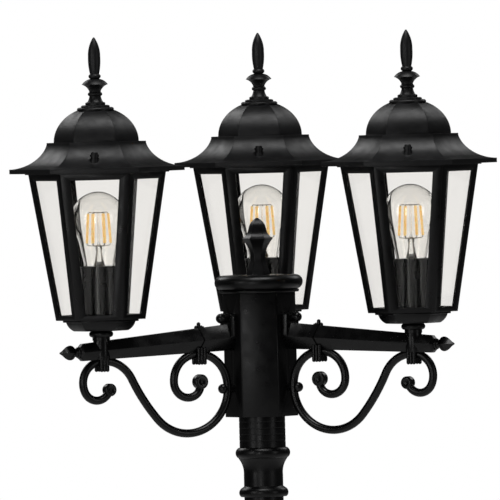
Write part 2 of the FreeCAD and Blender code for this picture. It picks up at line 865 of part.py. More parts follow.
def make_hub_finial():
    """Six-sided spear on a waisted foot, with a stud into the cap."""
    base = cap_top
    wide = size.hub_finial_wide_radius
    neck = size.hub_finial_neck_radius
    foot = size.hub_finial_foot_radius
    neck_up = base + size.hub_finial_neck_height
    wide_up = base + size.hub_finial_wide_height
    tip_up = base + size.hub_finial_height
    rise = tip_up - wide_up
    foot_part = hex_loft("hub_finial_foot", (
        (foot, base),
        (foot * 0.55 + neck * 0.45, base + size.hub_finial_neck_height * 0.4),
        (neck, neck_up),
        (neck * 0.82 + wide * 0.18, neck_up + (wide_up - neck_up) * 0.4),
        (wide, wide_up),
    ), direction=HALF_FACET)
    spear_part = hex_loft("hub_finial_spear", (
        (wide, wide_up),
        (wide * 0.74, wide_up + rise * 0.16),
        (wide * 0.61, wide_up + rise * 0.36),
        (wide * 0.54, wide_up + rise * 0.56),
        (wide * 0.36, wide_up + rise * 0.82),
        (wide * 0.06, tip_up),
    ), direction=HALF_FACET)
    stud = cylinder("hub_finial_stud", size.finial_stud_radius, size.cap_height + size.cap_ring_height,
                    up=cap_bottom)
    keep("hub_finial", fuse("hub_finial_whole", foot_part, spear_part, stud))


# ------------------------------------------------------------------------------------------ arms
def make_arm(arm, direction, rod):
    """Hollow tapering arm with a root flange, an upright boss for the lantern's stem and saddles for the rod."""
    start = float(hub_facet)
    finish = float(size.arm_end)
    reach = float(size.lantern_reach)
    shoulder = float(size.arm_end_chamfer)
    wall = float(size.arm_wall)
    outer = arm_solid(start, finish)
    nose = Part.makeLoft([arm_section(finish), arm_section(finish + shoulder, -shoulder)], True, True)
    flange_low = float(size.arm_root_height - size.flange_drop)
    flange = Part.makeBox(float(size.flange_thickness), float(size.flange_width),
                          float(size.flange_rise + size.flange_drop),
                          Vector(start, -float(size.flange_width) / 2.0, flange_low))
    upright = [edge for edge in flange.Edges
               if abs(edge.tangentAt(edge.FirstParameter).x) > 0.99]
    flange = flange.makeFillet(float(size.flange_thickness) / 2.0, upright)
    boss_low = arm_centre_height(reach) - arm_depth(reach) / 2.0
    boss = Part.makeCylinder(float(size.arm_boss_radius), boss_top() - boss_low,
                             Vector(reach, 0, boss_low))
    inner = arm_solid(start, reach + float(size.stem_bore_radius), -wall)
    drain = Part.makeCylinder(float(size.stem_bore_radius), boss_top() - arm_centre_height(reach),
                              Vector(reach, 0, arm_centre_height(reach)))
    tenon = Part.makeCylinder(float(size.arm_tip_neck_radius + size.slip_gap),
                              float(size.arm_tip_tenon) + shoulder,
                              Vector(finish - float(size.arm_tip_tenon), 0, arm_centre_height(finish)), OUT)
    casting = outer.fuse([nose, flange, boss]).cut(inner.fuse([drain, tenon])).cut(rod)
    hole = Part.makeCylinder(float(size.bolt_shank_radius + size.slip_gap), float(size.flange_thickness),
                             Vector(start, 0, float(size.arm_root_height + size.flange_bolt_offset)), OUT)
    casting = casting.cut(hole)
    keep(f"arm_{arm}", shaped(f"arm_casting_{arm}", casting, direction))
    return casting


def boss_top():
    """Height of the flat on the arm's boss, where the stem stands."""
    return float(bowl_bottom - size.stem_bulge_length - size.stem_neck_length)


def tapered_loft(sections, sides, turn):
    """A solid through upright many-sided sections of (corner radius, reach), along X."""
    wires = []
    for corner, reach in sections:
        points = []
        for index in range(sides):
            angle = math.radians(turn + 360.0 * index / sides)
            points.append(Vector(reach, corner * math.cos(angle), corner * math.sin(angle)))
        wires.append(Part.makePolygon(points + points[:1]))
    return Part.makeLoft(wires, True, False)


def make_arm_tips():
    """Arrowhead at the free end of each arm, with a neck and a tenon."""
    neck = float(size.arm_tip_neck_radius)
    wide = float(size.arm_tip_wide_radius)
    length = float(size.arm_tip_length)
    tenon = float(size.arm_tip_tenon)
    shoulder = float(size.arm_end_chamfer)
    shank = Part.makeCylinder(neck, tenon + length * 0.4, Vector(-tenon, 0, 0), OUT)
    head = tapered_loft((
        (neck * 1.1, length * 0.32),
        (wide * 0.97, length * 0.45),
        (wide * 0.99, length * 0.58),
        (wide * 0.6, length * 0.8),
        (wide * 0.12, length),
    ), 4, 0.0)
    ring = Part.makeTorus(neck, neck * 0.3, Vector(shoulder + neck * 0.3, 0, 0), OUT)
    tip = shank.fuse([head, ring])
    tip.translate(Vector(float(size.arm_end), 0, arm_centre_height(float(size.arm_end))))
    tips = [turn_about_post(tip, direction) for direction in ARM_DIRECTIONS.values()]
    keep("arm_tips", shaped("arm_tip_set", solids_of(tips)))


def make_arm_flange_bolts():
    """Domed bolt on a collar through each root flange into the hub's wall."""
    inside = float(size.hub_bore_radius + size.slip_gap)
    face = float(flange_face)
    collar = float(size.bolt_collar_length)
    head = float(size.bolt_head_radius)
    dome = float(size.bolt_head_length)
    rim = dome * 0.35
    level = float(size.arm_root_height + size.flange_bolt_offset)
    under = face + collar
    shank = Part.makeCylinder(float(size.bolt_shank_radius), face - inside, Vector(inside, 0, level), OUT)
    neck = Part.makeCylinder(float(size.bolt_collar_radius), collar, Vector(face, 0, level), OUT)
    cap = Part.makeCylinder(head, rim, Vector(under, 0, level), OUT)
    ball_radius = (head ** 2 + (dome - rim) ** 2) / (2.0 * (dome - rim))
    ball = Part.makeSphere(ball_radius, Vector(under + dome - ball_radius, 0, level))
    crown = Part.makeCylinder(head, dome, Vector(under + rim, 0, level), OUT)
    bolt = shank.fuse([neck, cap, ball.common(crown)])
    bolts = [turn_about_post(bolt, direction) for direction in ARM_DIRECTIONS.values()]
    keep("arm_flange_bolts", shaped("arm_flange_bolt_set", solids_of(bolts)))


# ------------------------------------------------------------------------------------------ scroll and straps
def scroll_path():
    """The scroll's centre line as tangent arcs, and its two ends."""
    here = Vector(float(size.scroll_start_reach), 0, float(scroll_start_height))
    heading = math.radians(float(size.scroll_start_heading))
    edges = []
    start = here
    for radius, turn in SCROLL_ARCS:
        side = math.copysign(1.0, turn)
        centre = here + Vector(-math.sin(heading), 0, math.cos(heading)) * radius * side
        stops = []
        for share in (0.5, 1.0):
            angle = heading + math.radians(turn) * share
            stops.append(centre + Vector(math.sin(angle), 0, -math.cos(angle)) * radius * side)
        edges.append(Part.Arc(here, stops[0], stops[1]).toShape())
        here = stops[1]
        heading += math.radians(turn)
    return Part.Wire(edges), start, here


def scroll_solid():
    """Round rod along the scroll, with a rolled boss at each end, dimpled on both faces."""
    path, start, finish = scroll_path()
    first = path.Edges[0]
    along = first.tangentAt(first.FirstParameter)
    if (first.valueAt(first.FirstParameter) - start).Length > 0.01:
        along = first.tangentAt(first.LastParameter) * -1.0
    ring = Part.Wire([Part.Circle(start, along, float(size.rod_radius)).toShape()])
    rod = path.makePipeShell([ring], True, True)
    half = float(size.boss_half_width)
    bosses = []
    dimples = []
    for centre, radius in ((start, float(size.outer_boss_radius)), (finish, float(size.inner_boss_radius))):
        disc = Part.makeCylinder(radius, half * 2.0, centre - ACROSS * half, ACROSS)
        disc = disc.makeFillet(half * 0.45, [edge for edge in disc.Edges if edge.Closed])
        bosses.append(disc)
        for side in (-1.0, 1.0):
            away = ACROSS * side * (half + float(size.dimple_radius) - float(size.dimple_depth))
            dimples.append(Part.makeSphere(float(size.dimple_radius), centre + away))
    return rod.fuse(bosses).cut(dimples)


def rod_reach_at_screw():
    """Reach of the rod's centre line at the height of the screw that holds it to the hub."""
    path, _, _ = scroll_path()
    level = float(scroll_screw_height)
    line = Part.makeLine(Vector(0, 0, level), Vector(float(size.lantern_reach), 0, level))
    distance, pairs, _ = path.distToShape(line)
    crossings = [pair[0].x for pair in pairs]
    return min(crossings)


def make_scroll(arm, direction, rod):
    reach = rod_reach_at_screw()
    level = float(scroll_screw_height)
    radius = float(size.scroll_screw_radius + size.slip_gap)
    hole = Part.makeCylinder(radius, float(size.rod_radius) * 4.0,
                             Vector(reach - float(size.rod_radius) * 2.0, 0, level), OUT)
    keep(f"scroll_{arm}", shaped(f"scroll_rod_{arm}", rod.cut(hole), direction))


def make_scroll_knobs(rod):
    """Round-head screw through each scroll, with a spacer between the rod and the hub."""
    reach = rod_reach_at_screw()
    level = float(scroll_screw_height)
    rod_radius = float(size.rod_radius)
    knob = float(size.scroll_knob_radius)
    shank_radius = float(size.scroll_screw_radius)
    inside = float(size.hub_bore_radius + size.slip_gap)
    spacer = Part.makeCylinder(knob * 0.8, reach - float(hub_facet), Vector(float(hub_facet), 0, level), OUT)
    shank = Part.makeCylinder(shank_radius, reach + rod_radius - inside, Vector(inside, 0, level), OUT)
    head = Part.makeSphere(knob, Vector(reach + rod_radius + knob * 0.25, 0, level))
    beyond = Part.makeBox(knob * 3.0, knob * 3.0, knob * 3.0,
                          Vector(reach, -knob * 1.5, level - knob * 1.5))
    collar = spacer.cut(rod)
    hat = head.common(beyond).cut(rod)
    screw = shank.fuse([max(collar.Solids, key=lambda solid: solid.Volume),
                        max(hat.Solids, key=lambda solid: solid.Volume)])
    knobs = [turn_about_post(screw, direction) for direction in ARM_DIRECTIONS.values()]
    keep("scroll_knobs", shaped("scroll_knob_set", solids_of(knobs)))


def strap_solid(reach, with_knob):
    """Band round the arm that points to the hub at the ridge, with a fluted tie under it for the scroll."""
    width = float(size.strap_width)
    point = float(size.strap_point)
    flute = float(size.strap_flute_radius)
    centre = arm_centre_height(reach)
    half_depth = arm_depth(reach) / 2.0
    tall = half_depth + 6.0
    spread = width + point * 2.0
    band = arm_solid(reach - spread, reach + spread, float(size.strap_thickness))
    corners = []
    for along, up in ((-width / 2.0, tall), (-width / 2.0 - point, 0.0), (-width / 2.0, -tall),
                      (width / 2.0, -tall), (width / 2.0 - point, 0.0), (width / 2.0, tall)):
        corners.append(Vector(reach + along, -tall * 2.0, centre + up))
    chevron = Part.Face(Part.makePolygon(corners + corners[:1])).extrude(ACROSS * tall * 4.0)
    pieces = [band.common(chevron)]
    depth = float(size.strap_tie_half_depth)
    drop = float(size.strap_tie_reach)
    low = centre - half_depth - drop
    core = Part.makeBox(flute * 4.4, depth * 2.0, drop + half_depth * 0.4,
                        Vector(reach - flute * 2.2, -depth, low + flute * 0.6))
    pieces.append(core)
    for step in (-1.0, 0.0, 1.0):
        for side in (-1.0, 1.0):
            foot = Vector(reach + step * flute * 1.7, side * depth, low + flute)
            pieces.append(Part.makeCylinder(flute, drop + half_depth * 0.4 - flute, foot))
            pieces.append(Part.makeSphere(flute, foot))
    if with_knob:
        top = centre + half_depth
        rise = float(size.strap_knob_height)
        for step, share in ((-1.0, 0.45), (0.0, 1.0), (1.0, 0.45)):
            foot = Vector(reach + step * flute * 1.5, 0, top - half_depth * 0.2)
            height = rise * share - flute + half_depth * 0.2
            pieces.append(Part.makeCylinder(flute, height, foot))
            pieces.append(Part.makeSphere(flute, foot + UP * height))
    whole = pieces[0].fuse(pieces[1:])
    return whole


def make_straps(arm, direction, casting, rod):
    """The two straps of one arm, the inner one with a three-lobed knob on top."""
    straps = []
    stem_space = Part.makeCylinder(float(size.stem_neck_radius + size.slip_gap), float(size.arm_root_depth),
                                   Vector(float(size.lantern_reach), 0, boss_top()))
    reaches = ((float(size.inner_strap_reach), True), (float(size.lantern_reach), False))
    for reach, with_knob in reaches:
        strap = strap_solid(reach, with_knob).cut(casting).cut(rod)
        inner = arm_solid(reach - 20.0, reach + 20.0)
        strap = strap.cut([inner, stem_space])
        straps.append(max(strap.Solids, key=lambda solid: solid.Volume))
    keep(f"straps_{arm}", shaped(f"strap_pair_{arm}", solids_of(straps), direction))


# ------------------------------------------------------------------------------------------ lantern, fixed part
def make_lantern_stem(arm, direction):
    """Turned stem between the arm's boss and the bowl, with a nipple through the bowl's floor."""
    neck = size.stem_neck_radius
    bulge = size.stem_bulge_radius
    bore = size.stem_bore_radius
    top = bowl_bottom
    bulge_low = top - size.stem_bulge_length
    low = bulge_low - size.stem_neck_length
    nipple_top = top + size.bowl_wall + 3.0
    half = size.stem_bulge_length / 2.0
    outline = (
        (bore, low),
        (neck, low),
        (neck, bulge_low),
        (bulge - half, bulge_low, half + 0.02),
        (bulge - half, top),
        (size.stem_nipple_radius, top),
        (size.stem_nipple_radius, nipple_top),
        (bore, nipple_top),
    )
    body = turned(f"stem_body_{arm}", outline, low, out=size.lantern_reach, direction=direction)
    keep(f"lantern_stem_{arm}", body)


def make_lantern_base(arm, direction):
    """Six-sided bowl with a thin collar on which the cage stands."""
    spot = {"out": size.lantern_reach, "direction": direction}
    low = bowl_bottom
    foot = size.bowl_foot_corner
    rim = size.bowl_top_corner
    high = collar_bottom
    bowl = hex_loft(f"bowl_{arm}", (
        (foot, low),
        (foot * 0.42 + rim * 0.58, low + size.bowl_height * 0.36),
        (foot * 0.12 + rim * 0.88, low + size.bowl_height * 0.72),
        (rim, high),
    ), **spot)
    collar = hex_loft(f"collar_{arm}", ((size.collar_corner, high), (size.collar_corner, cage_bottom)),
                      ruled=True, **spot)
    floor = low + size.bowl_wall
    hollow = hex_loft(f"bowl_hollow_{arm}", (
        (foot - size.bowl_wall, floor),
        (size.cage_floor_opening_corner, high),
        (size.cage_floor_opening_corner, cage_bottom + size.collar_thickness),
    ), ruled=True, **spot)
    nipple = cylinder(f"bowl_bore_{arm}", size.stem_nipple_radius + size.slip_gap, size.bowl_height,
                      up=low - size.bowl_wall, **spot)
    whole = fuse(f"bowl_whole_{arm}", bowl, collar)
    keep(f"lantern_base_{arm}", cut(f"lantern_base_cut_{arm}", whole, hollow, nipple))


def facet_point(facet, along, corner_radius, height, inset=0.0):
    """A point on a facet of a six-sided frustum: along is measured from the facet's middle."""
    angle = math.radians(facet)
    reach = corner_radius * CORNER_TO_FACET - inset
    x = reach * math.cos(angle) - along * math.sin(angle)
    y = reach * math.sin(angle) + along * math.cos(angle)
    return Vector(float(size.lantern_reach) + x, y, height)


def cage_corner(height):
    """Outer corner radius of the cage at a height."""
    share = (height - float(cage_bottom)) / float(size.cage_height)
    low = float(size.cage_bottom_corner)
    return low + (float(size.cage_top_corner) - low) * share


def window_wire(facet, low, high, margin, inset):
    """Outline of a window or a pane on one facet of the cage, narrower than the facet by a margin each side."""
    points = []
    for height, side in ((low, -1.0), (low, 1.0), (high, 1.0), (high, -1.0)):
        half = cage_corner(height) / 2.0 - margin
        points.append(facet_point(facet, side * half, cage_corner(height), height, inset))
    return Part.makePolygon(points + points[:1])


def facet_slab(facet, low, high, margin, inset, thickness):
    """A flat slab parallel to one facet of the cage."""
    near = window_wire(facet, low, high, margin, inset)
    far = window_wire(facet, low, high, margin, inset + thickness)
    return Part.makeLoft([near, far], True, True)


def hex_wire(corner, height):
    points = []
    for index in range(HEXAGON_SIDES):
        angle = math.radians(HALF_FACET + FACET_TURN * index)
        reach = Vector(math.cos(angle), math.sin(angle), 0) * corner
        points.append(Vector(float(size.lantern_reach), 0, height) + reach)
    return Part.makePolygon(points + points[:1])


def cage_frustum(low, high, inset):
    """Frustum that follows the cage's outside, drawn in by an inset."""
    rise = inset / CORNER_TO_FACET
    return Part.makeLoft([hex_wire(cage_corner(low) - rise, low), hex_wire(cage_corner(high) - rise, high)],
                         True, True)


def make_lantern_cage(arm, direction):
    """Frame of the lantern: rails and angled corner posts in one casting, with six open windows."""
    low = float(cage_bottom)
    high = float(cage_top)
    wall = float(size.cage_wall)
    outer = cage_frustum(low, high, 0.0)
    floor = float(cage_floor)
    flange_low = high - float(size.cage_flange_thickness)
    hollow = cage_frustum(floor, flange_low, wall)
    floor_hole = Part.makeLoft([hex_wire(float(size.cage_floor_opening_corner), low - 1.0),
                                hex_wire(float(size.cage_floor_opening_corner), floor + 1.0)], True, True)
    top_hole = Part.makeLoft([hex_wire(float(size.cage_flange_corner), flange_low - 1.0),
                              hex_wire(float(size.cage_flange_corner), high + 1.0)], True, True)
    cage = outer.cut(hollow.fuse([floor_hole, top_hole]))
    window_low = low + float(size.cage_bottom_rail)
    window_high = high - float(size.cage_top_rail)
    windows = []
    for index in range(HEXAGON_SIDES):
        facet = FACET_TURN * index
        windows.append(facet_slab(facet, window_low, window_high, float(size.post_flange_width),
                                  -wall, wall * 3.0))
    cage = cage.cut(windows[0].fuse(windows[1:]))
    holes = []
    for facet in SCREW_FACETS:
        angle = math.radians(facet)
        reach = float(size.roof_screw_reach)
        centre = Vector(float(size.lantern_reach) + reach * math.cos(angle), reach * math.sin(angle),
                        flange_low - 1.0)
        radius = float(size.roof_screw_shank_radius + size.seat_gap)
        holes.append(Part.makeCylinder(radius, high - flange_low + 2.0, centre))
    cage = cage.cut(holes[0].fuse(holes[1:]))
    keep(f"lantern_cage_{arm}", shaped(f"cage_casting_{arm}", cage, direction))


def make_glass_panes(arm, direction):
    """Six flat panes that lie against the inside of the frame."""
    panes = []
    low = float(cage_floor)
    high = float(cage_top - size.cage_flange_thickness) - float(size.slip_gap)
    wall = float(size.cage_wall)
    thickness = float(size.glass_thickness)
    margin = (wall + thickness) * math.tan(math.radians(HALF_FACET)) + float(size.glass_edge_gap)
    for index in range(HEXAGON_SIDES):
        facet = FACET_TURN * index
        panes.append(facet_slab(facet, low, high, margin, wall + float(size.slip_gap), thickness))
    keep(f"glass_panes_{arm}", shaped(f"pane_set_{arm}", solids_of(panes), direction))


def make_lampholder(arm, direction):
    """Black cylinder with a flange on the cage's floor, a well for the lamp's neck and a socket for its cap."""
    outer = size.holder_radius
    socket = size.lamp_cap_radius + size.lamp_cap_gap
    floor_low = holder_floor_top - size.holder_floor_thickness
    hollow = outer - size.holder_wall
    flange_top = holder_bottom + size.holder_flange_thickness
    lead_hole = size.lamp_lead_radius + size.wire_gap
    outline = (
        (hollow, holder_bottom),
        (size.holder_flange_radius, holder_bottom),
        (size.holder_flange_radius, flange_top),
        (outer, flange_top),
        (outer, holder_top),
        (size.holder_well_radius, holder_top),
        (size.holder_well_radius, holder_well_floor),
        (socket, holder_well_floor),
        (socket, holder_floor_top),
        (lead_hole, holder_floor_top),
        (lead_hole, floor_low),
        (hollow, floor_low),
    )
    body = turned(f"lampholder_body_{arm}", outline, holder_bottom, out=size.lantern_reach,
                  direction=direction)
    keep(f"lampholder_{arm}", body)


def make_lampholder_contacts():
    """Centre contact of each lampholder: a washer on the socket's floor with a rounded button on it."""
    floor = float(holder_floor_top)
    button = float(size.centre_contact_radius)
    washer_radius = float(size.lamp_cap_radius) * 0.6
    contacts = []
    for direction in ARM_DIRECTIONS.values():
        centre = Vector(float(size.lantern_reach), 0, floor)
        washer = Part.makeCylinder(washer_radius, button * 0.4, centre)
        post = Part.makeCylinder(button * 0.8, button, centre)
        dome = post.makeFillet(0.5, [edge for edge in post.Edges if edge.Closed and
                                     edge.BoundBox.ZMin > floor + 0.1])
        contacts.append(turn_about_post(washer.fuse(dome), direction))
    keep("lampholder_contacts", shaped("contact_set", solids_of(contacts)))


# ------------------------------------------------------------------------------------------ lamp
def lamp_outline(shrink):
    """Half outline of the lamp's glass, from its neck to its crown, drawn in by a wall."""
    centre = float(lamp_centre)
    ball = float(size.lamp_radius) - shrink
    neck = float(size.lamp_neck_radius) - shrink
    cap = float(size.lamp_cap_radius) - 0.4 - shrink
    low = float(lamp_cap_top) + shrink
    shoulder = float(holder_top)
    leave = math.radians(-32.0)
    meet = Vector(ball * math.cos(leave), 0, centre + ball * math.sin(leave))
    crown = Part.Arc(meet, Vector(ball * math.cos(math.radians(30)), 0, centre + ball * 0.5),
                     Vector(0, 0, centre + ball))
    side = Part.BSplineCurve()
    side.interpolate([Vector(neck, 0, shoulder), Vector((neck + meet.x) / 2.0 - 1.2, 0,
                                                        (shoulder + meet.z) / 2.0 - 2.0), meet],
                     InitialTangent=Vector(0.12, 0, 1), FinalTangent=Vector(math.sin(-leave), 0,
                                                                           math.cos(leave)))
    edges = [
        Part.LineSegment(Vector(0, 0, low), Vector(cap, 0, low)).toShape(),
        Part.LineSegment(Vector(cap, 0, low), Vector(neck, 0, shoulder)).toShape(),
        side.toShape(),
        crown.toShape(),
        Part.LineSegment(Vector(0, 0, centre + ball), Vector(0, 0, low)).toShape(),
    ]
    return Part.Face(Part.Wire(edges))


def make_bulb_glass(arm, direction):
    """Clear glass envelope, a closed shell."""
    whole = Part.makeSolid(lamp_outline(0.0).revolve(Vector(0, 0, 0), UP, 360))
    inside = Part.makeSolid(lamp_outline(float(size.lamp_glass_wall)).revolve(Vector(0, 0, 0), UP, 360))
    glass = whole.cut(inside)
    keep(f"bulb_glass_{arm}", shaped(f"glass_envelope_{arm}", glass, direction, size.lantern_reach))


def make_bulb_filaments(arm, direction):
    """Glass mount, upright filaments between two rings of wires, and the lead wires."""
    low = float(lamp_cap_top) + float(size.lamp_glass_wall)
    mount_radius = float(size.mount_radius)
    mount_top = low + float(size.mount_length)
    length = float(size.filament_length)
    high = mount_top + length
    top_circle = float(size.filament_circle_radius)
    low_circle = top_circle + float(size.filament_spread)
    stick = float(size.filament_radius)
    wire = stick * 0.4
    flare = Part.makeCone(mount_radius * 1.5, mount_radius * 0.6, float(size.mount_length), Vector(0, 0, low))
    post = Part.makeCylinder(stick * 1.3, length, Vector(0, 0, mount_top))
    pieces = [flare, post]
    count = int(size.filament_count)
    for index in range(count):
        angle = 2.0 * math.pi * (index + 0.5) / count
        spoke = Vector(math.cos(angle), math.sin(angle), 0)
        foot = spoke * low_circle + UP * (mount_top + 1.0)
        head = spoke * top_circle + UP * (high - 1.0)
        way = head - foot
        pieces.append(Part.makeCylinder(stick, way.Length, foot, way))
        for height, end in ((mount_top, foot), (high - stick, head)):
            start = UP * (height - 0.6)
            run = end - start
            pieces.append(Part.makeCylinder(wire, run.Length, start, run))
    filaments = pieces[0].fuse(pieces[1:])
    keep(f"bulb_filaments_{arm}", shaped(f"filament_set_{arm}", filaments, direction, size.lantern_reach))


def make_bulb_cap(arm, direction):
    """Screw cap of the lamp with rounded threads, insulator and end contact."""
    cap = size.lamp_cap_radius
    low = lamp_cap_bottom
    high = lamp_cap_top
    pitch = (high - low - 5.0) / 5.0
    root = cap - 1.1
    outline = [(0.0, lamp_contact_tip), (size.lamp_contact_radius, lamp_contact_tip),
               (size.lamp_contact_radius + 0.4, lamp_contact_tip + 1.6),
               (root - 2.0, low), (root, low)]
    for step in range(5):
        level = low + pitch * float(step)
        outline.append((root, level + pitch * 0.2, pitch * 0.52))
        outline.append((root, level + pitch * 0.9))
    outline.extend([(root, high - 3.5), (cap, high - 2.5), (cap, high), (0.0, high)])
    body = turned(f"bulb_cap_body_{arm}", outline, lamp_contact_tip, out=size.lantern_reach,
                  direction=direction)
    keep(f"bulb_cap_{arm}", body)


# ------------------------------------------------------------------------------------------ roof
def skirt_sections(inset, drop):
    """Hexagons of the flared skirt, from its rim up to the ledge."""
    rise = size.skirt_height
    flare = size.roof_rim_corner - size.skirt_top_corner - rise * size.skirt_lean
    sections = []
    for angle in (90.0, 76.0, 60.0, 42.0, 22.0, 0.0):
        share = math.sin(math.radians(angle))
        swell = 1.0 - math.cos(math.radians(angle))
        corner = size.skirt_top_corner + rise * size.skirt_lean * share + flare * swell - inset
        sections.append((corner, ledge_bottom - rise * share - drop))
    return sections


def dome_sections(inset, drop):
    """Hexagons of the domed crown, which rises as an ellipse from the ledge."""
    sections = []
    for share in (0.0, 0.22, 0.44, 0.64, 0.82, 1.0):
        level = share * float(size.dome_height) / float(size.dome_crown_height)
        corner = size.dome_corner * math.sqrt(1.0 - level ** 2) - inset
        sections.append((corner, ledge_top + size.dome_height * share - drop))
    return sections


def make_roof(arm, direction):
    """Cast roof: rim, flared skirt, ledge and domed crown in one shell, with screw bosses and a seat ring
    whose lip hangs outside the cage's top edge."""
    spot = {"out": size.lantern_reach, "direction": direction}
    wall = size.roof_wall
    rim = hex_loft(f"rim_{arm}", ((size.roof_rim_corner, roof_bottom), (size.roof_rim_corner, rim_top)),
                   ruled=True, **spot)
    skirt = hex_loft(f"skirt_{arm}", skirt_sections(0.0, 0.0), **spot)
    ledge = hex_loft(f"ledge_{arm}", ((size.skirt_top_corner, ledge_bottom),
                                      (size.skirt_top_corner, ledge_top)), ruled=True, **spot)
    dome = hex_loft(f"dome_{arm}", dome_sections(0.0, 0.0), **spot)
    inner_rim = hex_loft(f"inner_rim_{arm}", ((size.roof_rim_corner - wall, roof_bottom - wall),
                                              (size.roof_rim_corner - wall, rim_top - wall)),
                         ruled=True, **spot)
    inner_skirt = hex_loft(f"inner_skirt_{arm}", skirt_sections(wall, wall), **spot)
    throat_corner = size.dome_corner - wall * 2.0
    throat = hex_loft(f"throat_{arm}", ((throat_corner, ledge_bottom - wall * 2.0),
                                        (throat_corner, ledge_top)), ruled=True, **spot)
    inner_dome = hex_loft(f"inner_dome_{arm}", dome_sections(wall, wall), **spot)
    hollow = fuse(f"roof_hollow_{arm}", inner_rim, inner_skirt, throat, inner_dome)
    seat_top = roof_bottom + size.roof_seat_height
    boss_high = roof_bottom + size.roof_screw_boss_height
    lip_low = roof_bottom - size.roof_lip_drop
    lip_corner = size.cage_top_corner + size.roof_lip_gap
    seat_outer = hex_loft(f"seat_outer_{arm}", ((lip_corner + wall, lip_low), (lip_corner + wall, seat_top)),
                          ruled=True, **spot)
    seat_inner = hex_loft(f"seat_inner_{arm}", ((size.roof_seat_corner, lip_low),
                                                (size.roof_seat_corner, seat_top)), ruled=True, **spot)
    lip_inner = hex_loft(f"lip_inner_{arm}", ((lip_corner, lip_low), (lip_corner, roof_bottom)), ruled=True,
                         **spot)
    seat = cut(f"seat_{arm}", seat_outer, seat_inner, lip_inner)
    bosses = []
    holes = []
    centre_x = size.lantern_reach * math.cos(math.radians(direction))
    centre_y = size.lantern_reach * math.sin(math.radians(direction))
    for facet in SCREW_FACETS:
        angle = math.radians(direction + facet)
        for name, radius, low, high, kept in (
            ("screw_boss", size.roof_screw_boss_radius, roof_bottom, boss_high, bosses),
            ("screw_hole", size.roof_screw_shank_radius + size.slip_gap, roof_bottom - wall,
             boss_high + wall, holes),
            ("screw_recess", size.roof_screw_flange_radius + size.slip_gap, boss_high,
             boss_high + wall * 4.0, holes),
        ):
            feature = document.addObject("Part::Cylinder", f"{name}_{arm}_{int(facet)}")
            bind(feature, "Radius", radius)
            bind(feature, "Height", high - low)
            bind(feature, "Placement.Base.x", centre_x + size.roof_screw_reach * math.cos(angle))
            bind(feature, "Placement.Base.y", centre_y + size.roof_screw_reach * math.sin(angle))
            bind(feature, "Placement.Base.z", low)
            kept.append(feature)
    stud_hole = cylinder(f"stud_hole_{arm}", size.finial_stud_radius + size.slip_gap, size.dome_height,
                         up=dome_top - size.dome_height / 2.0, **spot)
    shell = cut(f"roof_shell_{arm}", fuse(f"roof_outside_{arm}", rim, skirt, ledge, dome), hollow)
    whole = fuse(f"roof_whole_{arm}", shell, seat, *bosses)
    keep(f"roof_{arm}", cut(f"roof_cut_{arm}", whole, stud_hole, *holes))


def make_roof_screws(arm, direction):
    """Three knurled-top screws through the skirt into the cage's flange."""
    seat = float(roof_bottom + size.roof_screw_boss_height)
    step = float(size.roof_screw_step)
    low = float(cage_top - size.cage_flange_thickness)
    shank = float(size.roof_screw_shank_radius)
    screws = []
    for facet in SCREW_FACETS:
        angle = math.radians(facet)
        reach = float(size.roof_screw_reach)
        spot = Vector(float(size.lantern_reach) + reach * math.cos(angle), reach * math.sin(angle), 0)
        body = Part.makeCylinder(float(size.roof_screw_body_radius), step, spot + UP * seat)
        flange = Part.makeCylinder(float(size.roof_screw_flange_radius), step, spot + UP * (seat + step))
        cap = Part.makeCylinder(float(size.roof_screw_cap_radius), step, spot + UP * (seat + step * 2.0))
        cap = cap.makeChamfer(step * 0.3, [edge for edge in cap.Edges
                                           if edge.Closed and edge.BoundBox.ZMin > seat + step * 2.5])
        stem = Part.makeCylinder(shank, seat - low, spot + UP * low)
        screws.append(body.fuse([flange, cap, stem]))
    keep(f"roof_screws_{arm}", shaped(f"roof_screw_set_{arm}", solids_of(screws), direction))


def make_roof_finial(arm, direction):
    """Turned finial: two-step rosette, foot ring, neck, bead, sharp disc, bead and spear."""
    base = dome_top
    top = base + size.finial_height
    step = size.rosette_step
    foot_low = base + step * 2.0
    neck = size.finial_neck_radius
    disc_up = base + size.finial_disc_height
    spear_foot = top - size.spear_length
    stud = size.finial_stud_radius
    outline = (
        (0.0, base - size.roof_wall * 2.0),
        (stud, base - size.roof_wall * 2.0),
        (stud, base),
        (size.rosette_low_radius, base),
        (size.rosette_low_radius, base + step * 0.7, 3.0),
        (size.rosette_high_radius, base + step),
        (size.rosette_high_radius, base + step * 1.8, 4.0),
        (size.finial_foot_radius, foot_low),
        (size.finial_foot_radius, foot_low + 2.9, 2.4),
        (neck + 2.5, foot_low + 3.7, -14.0),
        (neck, foot_low + 10.3),
        (neck + 0.3, foot_low + 10.5, 2.1),
        (neck + 0.3, foot_low + 14.4),
        (neck, foot_low + 15.6, -12.0),
        (size.finial_disc_radius, disc_up),
        (size.finial_disc_radius - 0.6, disc_up + 0.8, 14.0),
        (size.finial_spear_foot_radius + 0.2, spear_foot - 5.3),
        (size.finial_spear_foot_radius, spear_foot - 5.0, 2.7),
        (size.finial_spear_foot_radius, spear_foot, 70.0),
        (size.finial_spear_radius, top - size.spear_length * 0.52, 36.0),
        (1.0, top - 0.6),
        (0.0, top),
    )
    body = turned(f"roof_finial_body_{arm}", outline, base - size.roof_wall * 2.0,
                  out=size.lantern_reach, direction=direction)
    keep(f"roof_finial_{arm}", body)


